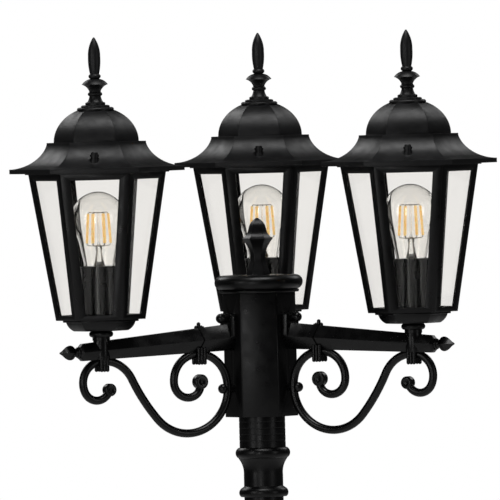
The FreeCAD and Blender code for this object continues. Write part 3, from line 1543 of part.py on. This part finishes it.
# ------------------------------------------------------------------------------------------ wiring
def make_terminal_block():
    """Round terminal block on a tube with a foot, which stands on the neck's spigot inside the hub."""
    low = float(hub_bottom + size.neck_spigot_length)
    radius = float(size.terminal_radius)
    height = float(size.terminal_height)
    drum_low = float(terminal_low)
    way = float(size.supply_cable_radius + size.wire_gap)
    wall = float(size.terminal_wall)
    foot = Part.makeCylinder(float(size.hub_bore_radius - size.slip_gap), wall, Vector(0, 0, low))
    tube = Part.makeCylinder(way + wall, drum_low - low, Vector(0, 0, low))
    drum = Part.makeCylinder(radius, height, Vector(0, 0, drum_low))
    openings = [Part.makeCylinder(way, drum_low - low, Vector(0, 0, low))]
    socket = float(size.lamp_lead_radius + size.slip_gap)
    for direction in ARM_DIRECTIONS.values():
        lead_hole = Part.makeCylinder(socket, radius, Vector(radius - wall, 0, float(size.arm_root_height)), OUT)
        openings.append(turn_about_post(lead_hole, direction))
        well = Part.makeCylinder(radius * 0.17, height * 0.3, Vector(radius * 0.6, 0, drum_low + height * 0.7))
        openings.append(turn_about_post(well, direction))
        openings.append(turn_about_post(well, direction + FACET_TURN))
    shape = foot.fuse([tube, drum]).cut(openings)
    keep("terminal_block", shaped("terminal_block_moulding", shape))


def make_supply_cable():
    """Supply cable from the gland at the foot straight up to the terminal block."""
    low = size.gland_plate_height - size.gland_length / 2.0
    feature = cylinder("supply_cable_core", size.supply_cable_radius, terminal_low - low, up=low)
    keep("supply_cable", feature)


def make_gland_plate():
    """Round plate against the ledge inside the pedestal, with a hole for the gland."""
    low = size.gland_plate_height
    rim = pedestal_bell_radius - size.pedestal_wall - size.slip_gap
    outline = (
        (size.gland_radius, low),
        (rim, low),
        (rim, low + size.gland_plate_thickness),
        (size.gland_radius, low + size.gland_plate_thickness),
    )
    keep("gland_plate", turned("gland_plate_disc", outline, low))


def make_cable_gland():
    """Gland in the plate that grips the supply cable."""
    low = size.gland_plate_height
    high = low + size.gland_plate_thickness
    bore = size.supply_cable_radius
    barrel = size.gland_radius
    outline = (
        (bore, low - size.gland_length * 0.4),
        (barrel * 0.8, low - size.gland_length * 0.4),
        (barrel * 1.3, low - size.gland_length * 0.25),
        (barrel * 1.3, low),
        (barrel, low),
        (barrel, high),
        (barrel * 1.3, high),
        (barrel * 1.3, high + size.gland_length * 0.25),
        (barrel * 0.8, high + size.gland_length * 0.4),
        (bore, high + size.gland_length * 0.4),
    )
    keep("cable_gland", turned("cable_gland_body", outline, low - size.gland_length * 0.4))


def make_lamp_leads():
    """One lead per lantern: from the terminal block, along the hollow arm, up the stem to the contact."""
    radius = float(size.lamp_lead_radius)
    bend = float(size.lead_bend_radius)
    reach = float(size.lantern_reach)
    start_reach = float(size.terminal_radius - size.terminal_wall)
    start = Vector(start_reach, 0, float(size.arm_root_height))
    end_up = float(holder_floor_top)
    slope = math.radians(float(size.arm_droop_angle))
    entry = Vector(float(hub_facet), 0, float(size.arm_root_height))
    corner = Vector(reach, 0, arm_centre_height(reach))
    turn = math.pi / 2.0 + slope
    tangent = bend * math.tan(turn / 2.0)
    way = (corner - entry).normalize()
    before = corner - way * tangent
    after = corner + UP * tangent
    centre = before + Vector(math.sin(slope), 0, math.cos(slope)) * bend
    inward = (corner - centre).normalize()
    middle = centre + inward * bend
    bend_arc = Part.Arc(before, middle, after).toShape()
    soft = float(size.lead_bend_radius) * 4.0
    ease = soft * math.tan(slope / 2.0)
    ease_in = entry - OUT * ease
    ease_out = entry + way * ease
    ease_centre = ease_in - UP * soft
    ease_middle = ease_centre + (entry - ease_centre).normalize() * soft
    edges = [
        Part.makeLine(start, ease_in),
        Part.Arc(ease_in, ease_middle, ease_out).toShape(),
        Part.makeLine(ease_out, before),
        bend_arc,
        Part.makeLine(after, Vector(reach, 0, end_up)),
    ]
    path = Part.Wire(edges)
    ring = Part.Wire([Part.Circle(start, OUT, radius).toShape()])
    lead = path.makePipeShell([ring], True, True)
    leads = [turn_about_post(lead, direction) for direction in ARM_DIRECTIONS.values()]
    keep("lamp_leads", shaped("lamp_lead_set", solids_of(leads)))


# ------------------------------------------------------------------------------------------ build and write
def build():
    make_base_pedestal()
    make_lower_column()
    make_column_knuckle()
    make_upper_column()
    make_neck_vase()
    make_hub_body()
    make_hub_cap()
    make_hub_finial()
    make_terminal_block()
    make_supply_cable()
    make_gland_plate()
    make_cable_gland()
    make_lamp_leads()
    make_arm_tips()
    make_arm_flange_bolts()
    make_lampholder_contacts()
    rod = scroll_solid()
    make_scroll_knobs(rod)
    for arm, direction in ARM_DIRECTIONS.items():
        casting = make_arm(arm, direction, rod)
        make_straps(arm, direction, casting, rod)
        make_scroll(arm, direction, rod)
        make_lantern_stem(arm, direction)
        make_lantern_base(arm, direction)
        make_lantern_cage(arm, direction)
        make_glass_panes(arm, direction)
        make_lampholder(arm, direction)
        make_bulb_glass(arm, direction)
        make_bulb_filaments(arm, direction)
        make_bulb_cap(arm, direction)
        make_roof(arm, direction)
        make_roof_screws(arm, direction)
        make_roof_finial(arm, direction)


def check_and_write():
    """Recomputes, checks every feature and writes one file per sub-part."""
    document.recompute()
    faults = []
    for feature in document.Objects:
        if "Invalid" in feature.State or "Error" in feature.State:
            faults.append(f"{feature.Name}: {feature.State}")
    for label, feature in nodes.items():
        shape = feature.Shape
        if shape.isNull() or not shape.isValid() or not shape.Solids:
            faults.append(f"{label}: no valid solid")
    if faults:
        raise RuntimeError("; ".join(faults))
    os.makedirs("parts", exist_ok=True)
    for label, feature in sorted(nodes.items()):
        feature.Shape.exportStep(f"parts/{label}.step")
        box = feature.Shape.BoundBox
        print(f"{label}: {len(feature.Shape.Solids)} solids, {feature.Shape.Volume:.0f} mm3, "
              f"z {box.ZMin:.1f} to {box.ZMax:.1f}")


build()
check_and_write()
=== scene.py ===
import json
import math
import bpy
from mathutils import Matrix, Vector


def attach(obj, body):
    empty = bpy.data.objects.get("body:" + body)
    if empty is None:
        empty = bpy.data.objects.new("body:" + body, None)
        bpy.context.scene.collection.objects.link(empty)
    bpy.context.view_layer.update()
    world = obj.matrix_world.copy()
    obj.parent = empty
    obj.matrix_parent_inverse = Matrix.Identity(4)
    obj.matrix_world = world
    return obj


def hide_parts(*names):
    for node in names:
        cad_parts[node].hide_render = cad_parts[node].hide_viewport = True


# Looks of the triple head lamp post: coats, glass, the inside of the lamps and the softened castings,
# in a pale studio. Sizes and heights are in metres.
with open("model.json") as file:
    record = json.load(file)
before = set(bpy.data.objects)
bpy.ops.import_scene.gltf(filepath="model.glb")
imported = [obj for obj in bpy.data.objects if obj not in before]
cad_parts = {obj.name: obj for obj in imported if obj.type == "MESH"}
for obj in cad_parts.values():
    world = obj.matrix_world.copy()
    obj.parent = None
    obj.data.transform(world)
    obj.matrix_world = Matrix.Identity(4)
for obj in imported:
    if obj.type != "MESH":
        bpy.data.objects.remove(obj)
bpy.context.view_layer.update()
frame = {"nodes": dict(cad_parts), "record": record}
cad = frame["nodes"]
slot_of = {part["node"]: part["material_slot"] for part in frame["record"]["subparts"]}
bodies = frame["record"]["behaviour"]["bodies"]
body_of = {node: body for body, members in bodies.items() for node in members}

ARMS = {"left": 210.0, "right": 330.0, "rear": 90.0}    # degrees from +X
LANTERN_REACH = 0.1965                                  # from the post's axis to a lantern's axis

bpy.ops.object.select_all(action="DESELECT")


# ------------------------------------------------------------------------------------------ finishes
NOISE_LOW = 0.3       # the middle range of a noise, where nearly all of it lies
NOISE_HIGH = 0.7


class Finish:
    """A material with its principled shader, and what its noises drive."""

    def __init__(self, name):
        self.material = bpy.data.materials.new(name)
        self.material.use_nodes = True
        self.nodes = self.material.node_tree.nodes
        self.links = self.material.node_tree.links
        self.shader = self.nodes["Principled BSDF"]

    def noise(self, scale, detail, stretch=(1.0, 1.0, 1.0)):
        """Noise in the object's own metres, so that the grain keeps its real size."""
        place = self.nodes.new("ShaderNodeTexCoord")
        mapping = self.nodes.new("ShaderNodeMapping")
        mapping.inputs["Scale"].default_value = stretch
        noise = self.nodes.new("ShaderNodeTexNoise")
        noise.inputs["Scale"].default_value = scale
        noise.inputs["Detail"].default_value = detail
        self.links.new(place.outputs["Object"], mapping.inputs["Vector"])
        self.links.new(mapping.outputs["Vector"], noise.inputs["Vector"])
        return noise

    def colour(self, noise, dark, pale, low=0.0, high=1.0):
        """Colour that goes from dark to pale as the noise goes from low to high."""
        ramp = self.nodes.new("ShaderNodeValToRGB")
        first, second = ramp.color_ramp.elements
        first.position = low
        first.color = (*dark, 1.0)
        second.position = high
        second.color = (*pale, 1.0)
        self.links.new(noise.outputs["Fac"], ramp.inputs["Fac"])
        self.links.new(ramp.outputs["Color"], self.shader.inputs["Base Color"])
        return ramp.outputs["Color"]

    def roughness(self, noise, low, high):
        """Roughness that goes from low to high over the noise's middle range."""
        reach = self.nodes.new("ShaderNodeMapRange")
        reach.inputs["From Min"].default_value = NOISE_LOW
        reach.inputs["From Max"].default_value = NOISE_HIGH
        reach.inputs["To Min"].default_value = low
        reach.inputs["To Max"].default_value = high
        self.links.new(noise.outputs["Fac"], reach.inputs["Value"])
        self.links.new(reach.outputs["Result"], self.shader.inputs["Roughness"])

    def bump(self, noise, strength, distance, finer=None):
        """Unevenness from the noise, added to a finer one where there is one."""
        bump = self.nodes.new("ShaderNodeBump")
        bump.inputs["Strength"].default_value = strength
        bump.inputs["Distance"].default_value = distance
        self.links.new(noise.outputs["Fac"], bump.inputs["Height"])
        if finer:
            self.links.new(finer.outputs["Normal"], bump.inputs["Normal"])
        self.links.new(bump.outputs["Normal"], self.shader.inputs["Normal"])
        return bump


def powder_coat(name, dark, pale, roughness, grain, depth, specular):
    """Satin powder coat on a casting: cloudy colour, uneven gloss, fine orange peel and a slow swell."""
    finish = Finish(name)
    finish.shader.inputs["Specular IOR Level"].default_value = specular
    finish.colour(finish.noise(28.0, 4.0), dark, pale, 0.35, 0.72)
    finish.roughness(finish.noise(75.0, 3.0), roughness - 0.07, roughness + 0.07)
    peel = finish.bump(finish.noise(grain, 2.0), 0.5, depth)
    finish.bump(finish.noise(grain * 0.14, 2.0), 0.4, depth * 5.0, peel)
    return finish.material


def moulded_plastic(name, dark, pale, roughness, grain=600.0, specular=0.4):
    """Satin moulding with a slight grain."""
    finish = Finish(name)
    finish.shader.inputs["Specular IOR Level"].default_value = specular
    cloud = finish.noise(60.0, 2.0)
    finish.colour(cloud, dark, pale, 0.35, 0.7)
    finish.roughness(cloud, roughness - 0.05, roughness + 0.05)
    finish.bump(finish.noise(grain, 1.0), 0.3, 0.00004)
    return finish.material


def bare_metal(name, dark, pale, roughness):
    """Bright metal with faint drawing marks."""
    finish = Finish(name)
    finish.shader.inputs["Metallic"].default_value = 1.0
    marks = finish.noise(240.0, 2.0, (1.0, 1.0, 6.0))
    finish.colour(marks, dark, pale)
    finish.roughness(marks, roughness - 0.06, roughness + 0.08)
    return finish.material


def clear_glass(name, tint, roughness, wave, depth, index=1.45):
    """Clear glass with a faint unevenness of its surface."""
    finish = Finish(name)
    finish.shader.inputs["Transmission Weight"].default_value = 1.0
    finish.shader.inputs["IOR"].default_value = index
    cloud = finish.noise(wave, 1.0)
    finish.colour(cloud, tint, [min(1.0, value * 1.02) for value in tint], 0.3, 0.75)
    finish.roughness(cloud, roughness, roughness * 1.8)
    finish.bump(cloud, 0.3, depth)
    return finish.material


def filament_coat_and_glow(name):
    """Amber phosphor coat on a filament stick, cloudy, with a faint painted glow in its own colour."""
    finish = Finish(name)
    cloud = finish.noise(420.0, 2.0)
    amber_and_glow = finish.colour(cloud, (0.95, 0.62, 0.20), (1.0, 0.82, 0.42), 0.35, 0.68)
    # Painted glow: the coat's colour also drives the emission, so the sticks shine faintly of themselves.
    finish.links.new(amber_and_glow, finish.shader.inputs["Emission Color"])
    finish.shader.inputs["Emission Strength"].default_value = 0.45
    finish.roughness(cloud, 0.35, 0.5)
    return finish.material


def floor_paper(name):
    """Pale matt paper."""
    finish = Finish(name)
    finish.colour(finish.noise(3.0, 2.0), (0.80, 0.80, 0.80), (0.84, 0.84, 0.84))
    finish.shader.inputs["Roughness"].default_value = 0.8
    return finish.material


post_coat = powder_coat("post_powder_coat", (0.0008, 0.0008, 0.0009), (0.0018, 0.0018, 0.0020),
                        0.34, 650.0, 0.00008, 0.22)
arm_coat = powder_coat("arm_powder_coat", (0.0006, 0.0006, 0.0007), (0.0014, 0.0014, 0.0016),
                       0.28, 750.0, 0.00006, 0.26)
roof_coat = powder_coat("roof_powder_coat", (0.0022, 0.0022, 0.0024), (0.0045, 0.0045, 0.0049),
                        0.42, 520.0, 0.0001, 0.25)
pane_glass = clear_glass("pane_clear_glass", (0.905, 0.895, 0.878), 0.004, 14.0, 0.00002, 1.16)
lamp_glass = clear_glass("lamp_clear_glass", (0.985, 0.975, 0.955), 0.004, 22.0, 0.00001)
mount_glass = clear_glass("lamp_mount_glass", (0.97, 0.97, 0.96), 0.02, 90.0, 0.0001)
filament_amber = filament_coat_and_glow("filament_amber_coat_and_glow")
wire_metal = bare_metal("lamp_wire_metal", (0.30, 0.27, 0.23), (0.48, 0.45, 0.40), 0.3)
cap_metal = bare_metal("lamp_cap_metal", (0.62, 0.61, 0.58), (0.82, 0.81, 0.79), 0.25)
contact_brass = bare_metal("contact_brass", (0.52, 0.36, 0.14), (0.72, 0.54, 0.25), 0.3)
holder_plastic = moulded_plastic("holder_satin_plastic", (0.002, 0.002, 0.002), (0.004, 0.004, 0.004),
                                 0.24, specular=0.25)
block_plastic = moulded_plastic("terminal_block_plastic", (0.62, 0.60, 0.55), (0.72, 0.70, 0.66), 0.45)
cable_sheath = moulded_plastic("cable_sheath_rubber", (0.012, 0.012, 0.012), (0.022, 0.022, 0.022),
                               0.62, 900.0)
gland_plastic = moulded_plastic("gland_plastic", (0.018, 0.018, 0.019), (0.028, 0.028, 0.03), 0.5)

FINISHES = {
    "post_black": post_coat,
    "arm_black": arm_coat,
    "roof_grey": roof_coat,
    "pane_glass": pane_glass,
    "lamp_glass": lamp_glass,
    "filament_amber": filament_amber,
    "cap_metal": cap_metal,
    "contact_brass": contact_brass,
    "holder_black": holder_plastic,
    "block_plastic": block_plastic,
    "cable_rubber": cable_sheath,
    "gland_plastic": gland_plastic,
}


def finish_node(node):
    """Gives a node of the frame the finish of its slot."""
    coat = FINISHES[slot_of[node]]
    slots = cad[node].material_slots
    if slots:
        for slot in slots:
            slot.material = coat
    else:
        cad[node].data.materials.append(coat)


for node_name in cad:
    finish_node(node_name)


# ------------------------------------------------------------------------------------------ making pieces
PIECE_SMOOTH_ANGLE = math.radians(35.0)    # edges flatter than this are shaded as one surface


def edit(piece):
    """Selects one piece alone and opens all of its mesh for editing."""
    bpy.ops.object.select_all(action="DESELECT")
    piece.select_set(True)
    bpy.context.view_layer.objects.active = piece
    bpy.ops.object.mode_set(mode="EDIT")
    bpy.ops.mesh.select_all(action="SELECT")


def settle(piece, name, coat, body):
    """Names and finishes a piece that has its place in its mesh: normals, coat, slot and body."""
    edit(piece)
    bpy.ops.mesh.normals_make_consistent(inside=False)
    bpy.ops.object.mode_set(mode="OBJECT")
    bpy.ops.object.shade_smooth_by_angle(angle=PIECE_SMOOTH_ANGLE)
    piece.name = name
    piece.data.name = name
    piece.data.materials.clear()
    piece.data.materials.append(coat)
    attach(piece, body)
    piece.select_set(False)
    return piece


def join(pieces):
    """Several objects as one."""
    bpy.ops.object.select_all(action="DESELECT")
    for piece in pieces:
        piece.select_set(True)
    bpy.context.view_layer.objects.active = pieces[0]
    bpy.ops.object.join()
    return bpy.context.view_layer.objects.active


def copy_to(piece, matrix):
    """A copy with its own mesh, moved in the mesh."""
    copy = piece.copy()
    copy.data = piece.data.copy()
    bpy.context.scene.collection.objects.link(copy)
    copy.data.transform(matrix)
    return copy


def stick(start, finish, radius, sides):
    """A round stick between two points, with rounded ends."""
    run = finish - start
    bpy.ops.mesh.primitive_cylinder_add(vertices=sides, radius=radius, depth=run.length, location=(0, 0, 0))
    piece = bpy.context.active_object
    edit(piece)
    bpy.ops.mesh.bevel(offset=radius * 0.45, segments=2, affect="EDGES")
    bpy.ops.object.mode_set(mode="OBJECT")
    turn = run.to_track_quat("Z", "Y").to_matrix().to_4x4()
    piece.data.transform(Matrix.Translation((start + finish) / 2.0) @ turn)
    return piece


def spun(outline, steps):
    """A closed round piece from an outline of (radius, height), both ends on the axis."""
    bpy.ops.mesh.primitive_plane_add(size=0.01, location=(0, 0, 0))
    piece = bpy.context.active_object
    mesh = piece.data
    mesh.clear_geometry()
    mesh.from_pydata([(radius, 0.0, height) for radius, height in outline],
                     [(index, index + 1) for index in range(len(outline) - 1)], [])
    edit(piece)
    bpy.ops.mesh.spin(steps=steps, angle=2.0 * math.pi, center=(0, 0, 0), axis=(0, 0, 1))
    bpy.ops.mesh.select_all(action="SELECT")
    bpy.ops.mesh.remove_doubles(threshold=0.00001)
    bpy.ops.object.mode_set(mode="OBJECT")
    return piece


# ------------------------------------------------------------------------------------------ softened castings
WELD_GAP = 0.000005                           # corners of neighbouring faces closer than this are one
FLAT_ANGLE = math.radians(0.6)                # triangles flatter than this are one face
SHARP_ANGLE = math.radians(24.0)              # edges sharper than this are rounded off
CASTING_SMOOTH_ANGLE = math.radians(32.0)
HUB_ROUNDING = 0.0008
FINIAL_ROUNDING = 0.0005
ARM_ROUNDING = 0.0007
CAGE_ROUNDING = 0.0005
BOWL_ROUNDING = 0.0006
ROOF_ROUNDING = 0.0007


def softened(node, width):
    """Replaces a casting by one with rounded edges, as sand-cast and powder-coated edges are."""
    piece = cad[node].copy()
    piece.data = cad[node].data.copy()
    piece.parent = None
    bpy.context.scene.collection.objects.link(piece)
    edit(piece)
    bpy.ops.mesh.remove_doubles(threshold=WELD_GAP)
    bpy.ops.mesh.customdata_custom_splitnormals_clear()
    bpy.ops.mesh.mark_sharp(clear=True)
    bpy.ops.mesh.dissolve_limited(angle_limit=FLAT_ANGLE)
    # A flat ring is split up, because as one face it can close over its opening.
    bpy.ops.mesh.vert_connect_concave()
    bpy.ops.object.mode_set(mode="OBJECT")
    bevel = piece.modifiers.new("rounded_edges", "BEVEL")
    bevel.width = width
    bevel.segments = 2
    bevel.limit_method = "ANGLE"
    bevel.angle_limit = SHARP_ANGLE
    bevel.miter_outer = "MITER_ARC"
    bevel.use_clamp_overlap = True
    bevel.harden_normals = False
    bpy.ops.object.modifier_apply(modifier=bevel.name)
    bpy.ops.object.shade_smooth_by_angle(angle=CASTING_SMOOTH_ANGLE)
    piece.name = f"{node}_casting"
    piece.data.name = piece.name
    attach(piece, body_of[node])
    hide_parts(node)
    piece.select_set(False)


softened("hub_body", HUB_ROUNDING)
softened("hub_finial", FINIAL_ROUNDING)
for arm in ARMS:
    softened(f"arm_{arm}", ARM_ROUNDING)
    softened(f"lantern_cage_{arm}", CAGE_ROUNDING)
    softened(f"lantern_base_{arm}", BOWL_ROUNDING)
    softened(f"roof_{arm}", ROOF_ROUNDING)


# ------------------------------------------------------------------------------------------ inside the lamps
LAMP_CAP_TOP = 1.946
MOUNT_TOP = 1.9728
FILAMENT_TOP = 2.0098
STICK_COUNT = 6
STICK_RADIUS = 0.0014
STICK_FOOT_REACH = 0.0130     # from the lamp's axis to a stick's foot
STICK_HEAD_REACH = 0.0110
WIRE_RADIUS = 0.0004
LEAD_RADIUS = 0.00045
WIRE_SIDES = 8


def lantern_place(arm):
    """From a lantern's own frame, with its axis at the origin and the hub towards -X, to its place."""
    turn = Matrix.Rotation(math.radians(ARMS[arm]), 4, "Z")
    return turn @ Matrix.Translation((LANTERN_REACH, 0, 0))


def spoke_point(index, reach, height):
    """A point at a stick's angle round the lamp's axis."""
    angle = math.radians(360.0 / STICK_COUNT * index + 30.0)
    return Vector((math.cos(angle), math.sin(angle), 0)) * reach + Vector((0, 0, height))


def lamp_mount():
    """Glass flare with its pinched stem and the thin post up to the filaments' top."""
    low = LAMP_CAP_TOP + 0.0009
    flare = [(0.0, low), (0.0075, low), (0.0068, low + 0.003), (0.0048, low + 0.009),
             (0.0039, low + 0.016), (0.0036, low + 0.020), (0.0042, low + 0.0235)]
    stem = [(0.0036, MOUNT_TOP + 0.0002), (0.0016, MOUNT_TOP + 0.0012), (0.0011, MOUNT_TOP + 0.004)]
    knob = [(0.0011, FILAMENT_TOP - 0.0016), (0.0019, FILAMENT_TOP - 0.0008), (0.0014, FILAMENT_TOP),
            (0.0, FILAMENT_TOP)]
    return spun(flare + stem + knob, 24)


def lamp_filaments():
    """Filament sticks that lean in a little at the top."""
    sticks = []
    for index in range(STICK_COUNT):
        low = spoke_point(index, STICK_FOOT_REACH, MOUNT_TOP + 0.0028)
        high = spoke_point(index, STICK_HEAD_REACH, FILAMENT_TOP - 0.0018)
        sticks.append(stick(low, high, STICK_RADIUS, 12))
    return join(sticks)


def lamp_wires():
    """Wires from the mount to each stick's two ends, and the two lead wires in the mount."""
    hub_low = Vector((0, 0, MOUNT_TOP - 0.0008))
    hub_high = Vector((0, 0, FILAMENT_TOP - 0.0012))
    wires = []
    for index in range(STICK_COUNT):
        foot = spoke_point(index, STICK_FOOT_REACH, MOUNT_TOP + 0.0030)
        knee = spoke_point(index, 0.0121, MOUNT_TOP + 0.0006)
        head = spoke_point(index, STICK_HEAD_REACH, FILAMENT_TOP - 0.0020)
        elbow = spoke_point(index, 0.0098, FILAMENT_TOP - 0.0004)
        for start, finish in ((hub_low, knee), (knee, foot), (hub_high, elbow), (elbow, head)):
            wires.append(stick(start, finish, WIRE_RADIUS, WIRE_SIDES))
    for side in (-1.0, 1.0):
        low = Vector((side * 0.0030, 0, LAMP_CAP_TOP + 0.0012))
        high = Vector((side * 0.0012, 0, MOUNT_TOP - 0.0005))
        wires.append(stick(low, high, LEAD_RADIUS, WIRE_SIDES))
    return join(wires)


mount_form = lamp_mount()
stick_form = lamp_filaments()
wire_form = lamp_wires()
for arm in ARMS:
    place = lantern_place(arm)
    body = f"lamp_{arm}"
    mount = settle(copy_to(mount_form, place), f"lamp_mount_{arm}", mount_glass, body)
    settle(copy_to(stick_form, place), f"lamp_filaments_{arm}", filament_amber, body)
    settle(copy_to(wire_form, place), f"lamp_wires_{arm}", wire_metal, body)
    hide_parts(f"bulb_filaments_{arm}")
for form in (mount_form, stick_form, wire_form):
    bpy.data.objects.remove(form)


# ------------------------------------------------------------------------------------------ studio
FLOOR_RADIUS = 6.0
FLOOR_DROP = 0.0005      # keeps the floor just clear of the foot
WORLD_LIGHT = 0.42       # the world's strength as a light
WORLD_SEEN = 1.0         # its strength to the camera and through glass
WORLD_MIRROR_DROP = 0.37    # how much less of it a coat mirrors


def studio_floor():
    """Pale round floor that keeps the post's shadow."""
    bpy.ops.mesh.primitive_circle_add(vertices=128, radius=FLOOR_RADIUS, fill_type="NGON",
                                      location=(0, 0, -FLOOR_DROP))
    floor = bpy.context.active_object
    floor.name = "studio_floor"
    floor.data.materials.append(floor_paper("studio_floor_paper"))


def studio_world():
    """Soft white light all round: white to the camera and through glass, dim where a coat mirrors it."""
    world = bpy.data.worlds.new("studio_world")
    bpy.context.scene.world = world
    world.use_nodes = True
    nodes = world.node_tree.nodes
    links = world.node_tree.links
    background = nodes["Background"]
    background.inputs["Color"].default_value = (1.0, 1.0, 1.0, 1.0)
    path = nodes.new("ShaderNodeLightPath")
    seen = nodes.new("ShaderNodeMath")
    seen.operation = "MAXIMUM"
    links.new(path.outputs["Is Camera Ray"], seen.inputs[0])
    links.new(path.outputs["Is Transmission Ray"], seen.inputs[1])
    level = nodes.new("ShaderNodeMapRange")
    level.inputs["To Min"].default_value = WORLD_LIGHT
    level.inputs["To Max"].default_value = WORLD_SEEN
    links.new(seen.outputs["Value"], level.inputs["Value"])
    mirror_only = nodes.new("ShaderNodeMath")
    mirror_only.operation = "SUBTRACT"
    mirror_only.use_clamp = True
    links.new(path.outputs["Is Glossy Ray"], mirror_only.inputs[0])
    links.new(path.outputs["Is Transmission Ray"], mirror_only.inputs[1])
    strength = nodes.new("ShaderNodeMath")
    strength.operation = "MULTIPLY_ADD"
    strength.inputs[1].default_value = -WORLD_MIRROR_DROP
    links.new(mirror_only.outputs["Value"], strength.inputs[0])
    links.new(level.outputs["Result"], strength.inputs[2])
    links.new(strength.outputs["Value"], background.inputs["Strength"])


def softbox(name, place, aim_height, size, power):
    """One rectangular soft lamp of the studio, aimed at a height on the post's axis."""
    light = bpy.data.lights.new(name, "AREA")
    light.shape = "RECTANGLE"
    light.size, light.size_y = size
    light.energy = power
    holder = bpy.data.objects.new(name, light)
    bpy.context.scene.collection.objects.link(holder)
    holder.location = place
    aim = Vector((0, 0, aim_height)) - Vector(place)
    holder.rotation_euler = aim.to_track_quat("-Z", "Y").to_euler()


studio_floor()
studio_world()
softbox("left_softbox", (-1.7, -1.6, 2.3), 1.85, (0.6, 1.6), 9.0)
softbox("right_softbox", (1.9, -1.3, 2.1), 1.85, (0.5, 1.5), 4.0)
softbox("top_softbox", (0.1, -0.6, 3.6), 1.9, (1.2, 0.8), 24.0)
softbox("front_strip", (-0.75, -2.9, 1.95), 1.9, (0.22, 1.6), 10.0)
softbox("left_rim_softbox", (-1.7, 2.1, 3.6), 2.05, (1.4, 1.0), 14.0)
softbox("right_rim_softbox", (1.7, 2.1, 3.6), 2.05, (1.4, 1.0), 9.0)
softbox("low_softbox", (-0.9, -2.2, 0.7), 0.5, (0.8, 1.2), 1.5)


# ------------------------------------------------------------------------------------------ camera
LENS = 1100.0             # millimetres, as the sensor's width
SENSOR_WIDTH = 36.0
FRAME_WIDTH = 0.548       # width of the picture at the post's axis
VIEW_TURN = math.radians(1.7)
VIEW_ROLL = math.radians(1.45)
VIEW_DIP = math.radians(0.9)
VIEW_CENTRE = Vector((-0.0085, 0.0, 1.9625))

camera_data = bpy.data.cameras.new("photograph_camera")
camera_data.lens = LENS
camera_data.sensor_width = SENSOR_WIDTH
camera_data.clip_start = 1.0
camera_data.clip_end = 60.0
camera = bpy.data.objects.new("photograph_camera", camera_data)
bpy.context.scene.collection.objects.link(camera)
distance = FRAME_WIDTH * LENS / SENSOR_WIDTH
run = math.cos(VIEW_DIP) * distance
camera.location = VIEW_CENTRE + Vector((math.sin(VIEW_TURN) * run, -math.cos(VIEW_TURN) * run,
                                        math.sin(VIEW_DIP) * distance))
look = (VIEW_CENTRE - camera.location).to_track_quat("-Z", "Y").to_matrix().to_4x4()
camera.rotation_euler = (look @ Matrix.Rotation(-VIEW_ROLL, 4, "Z")).to_euler()
bpy.context.scene.camera = camera
bpy.context.scene.view_settings.view_transform = "Standard"

bpy.context.view_layer.update()
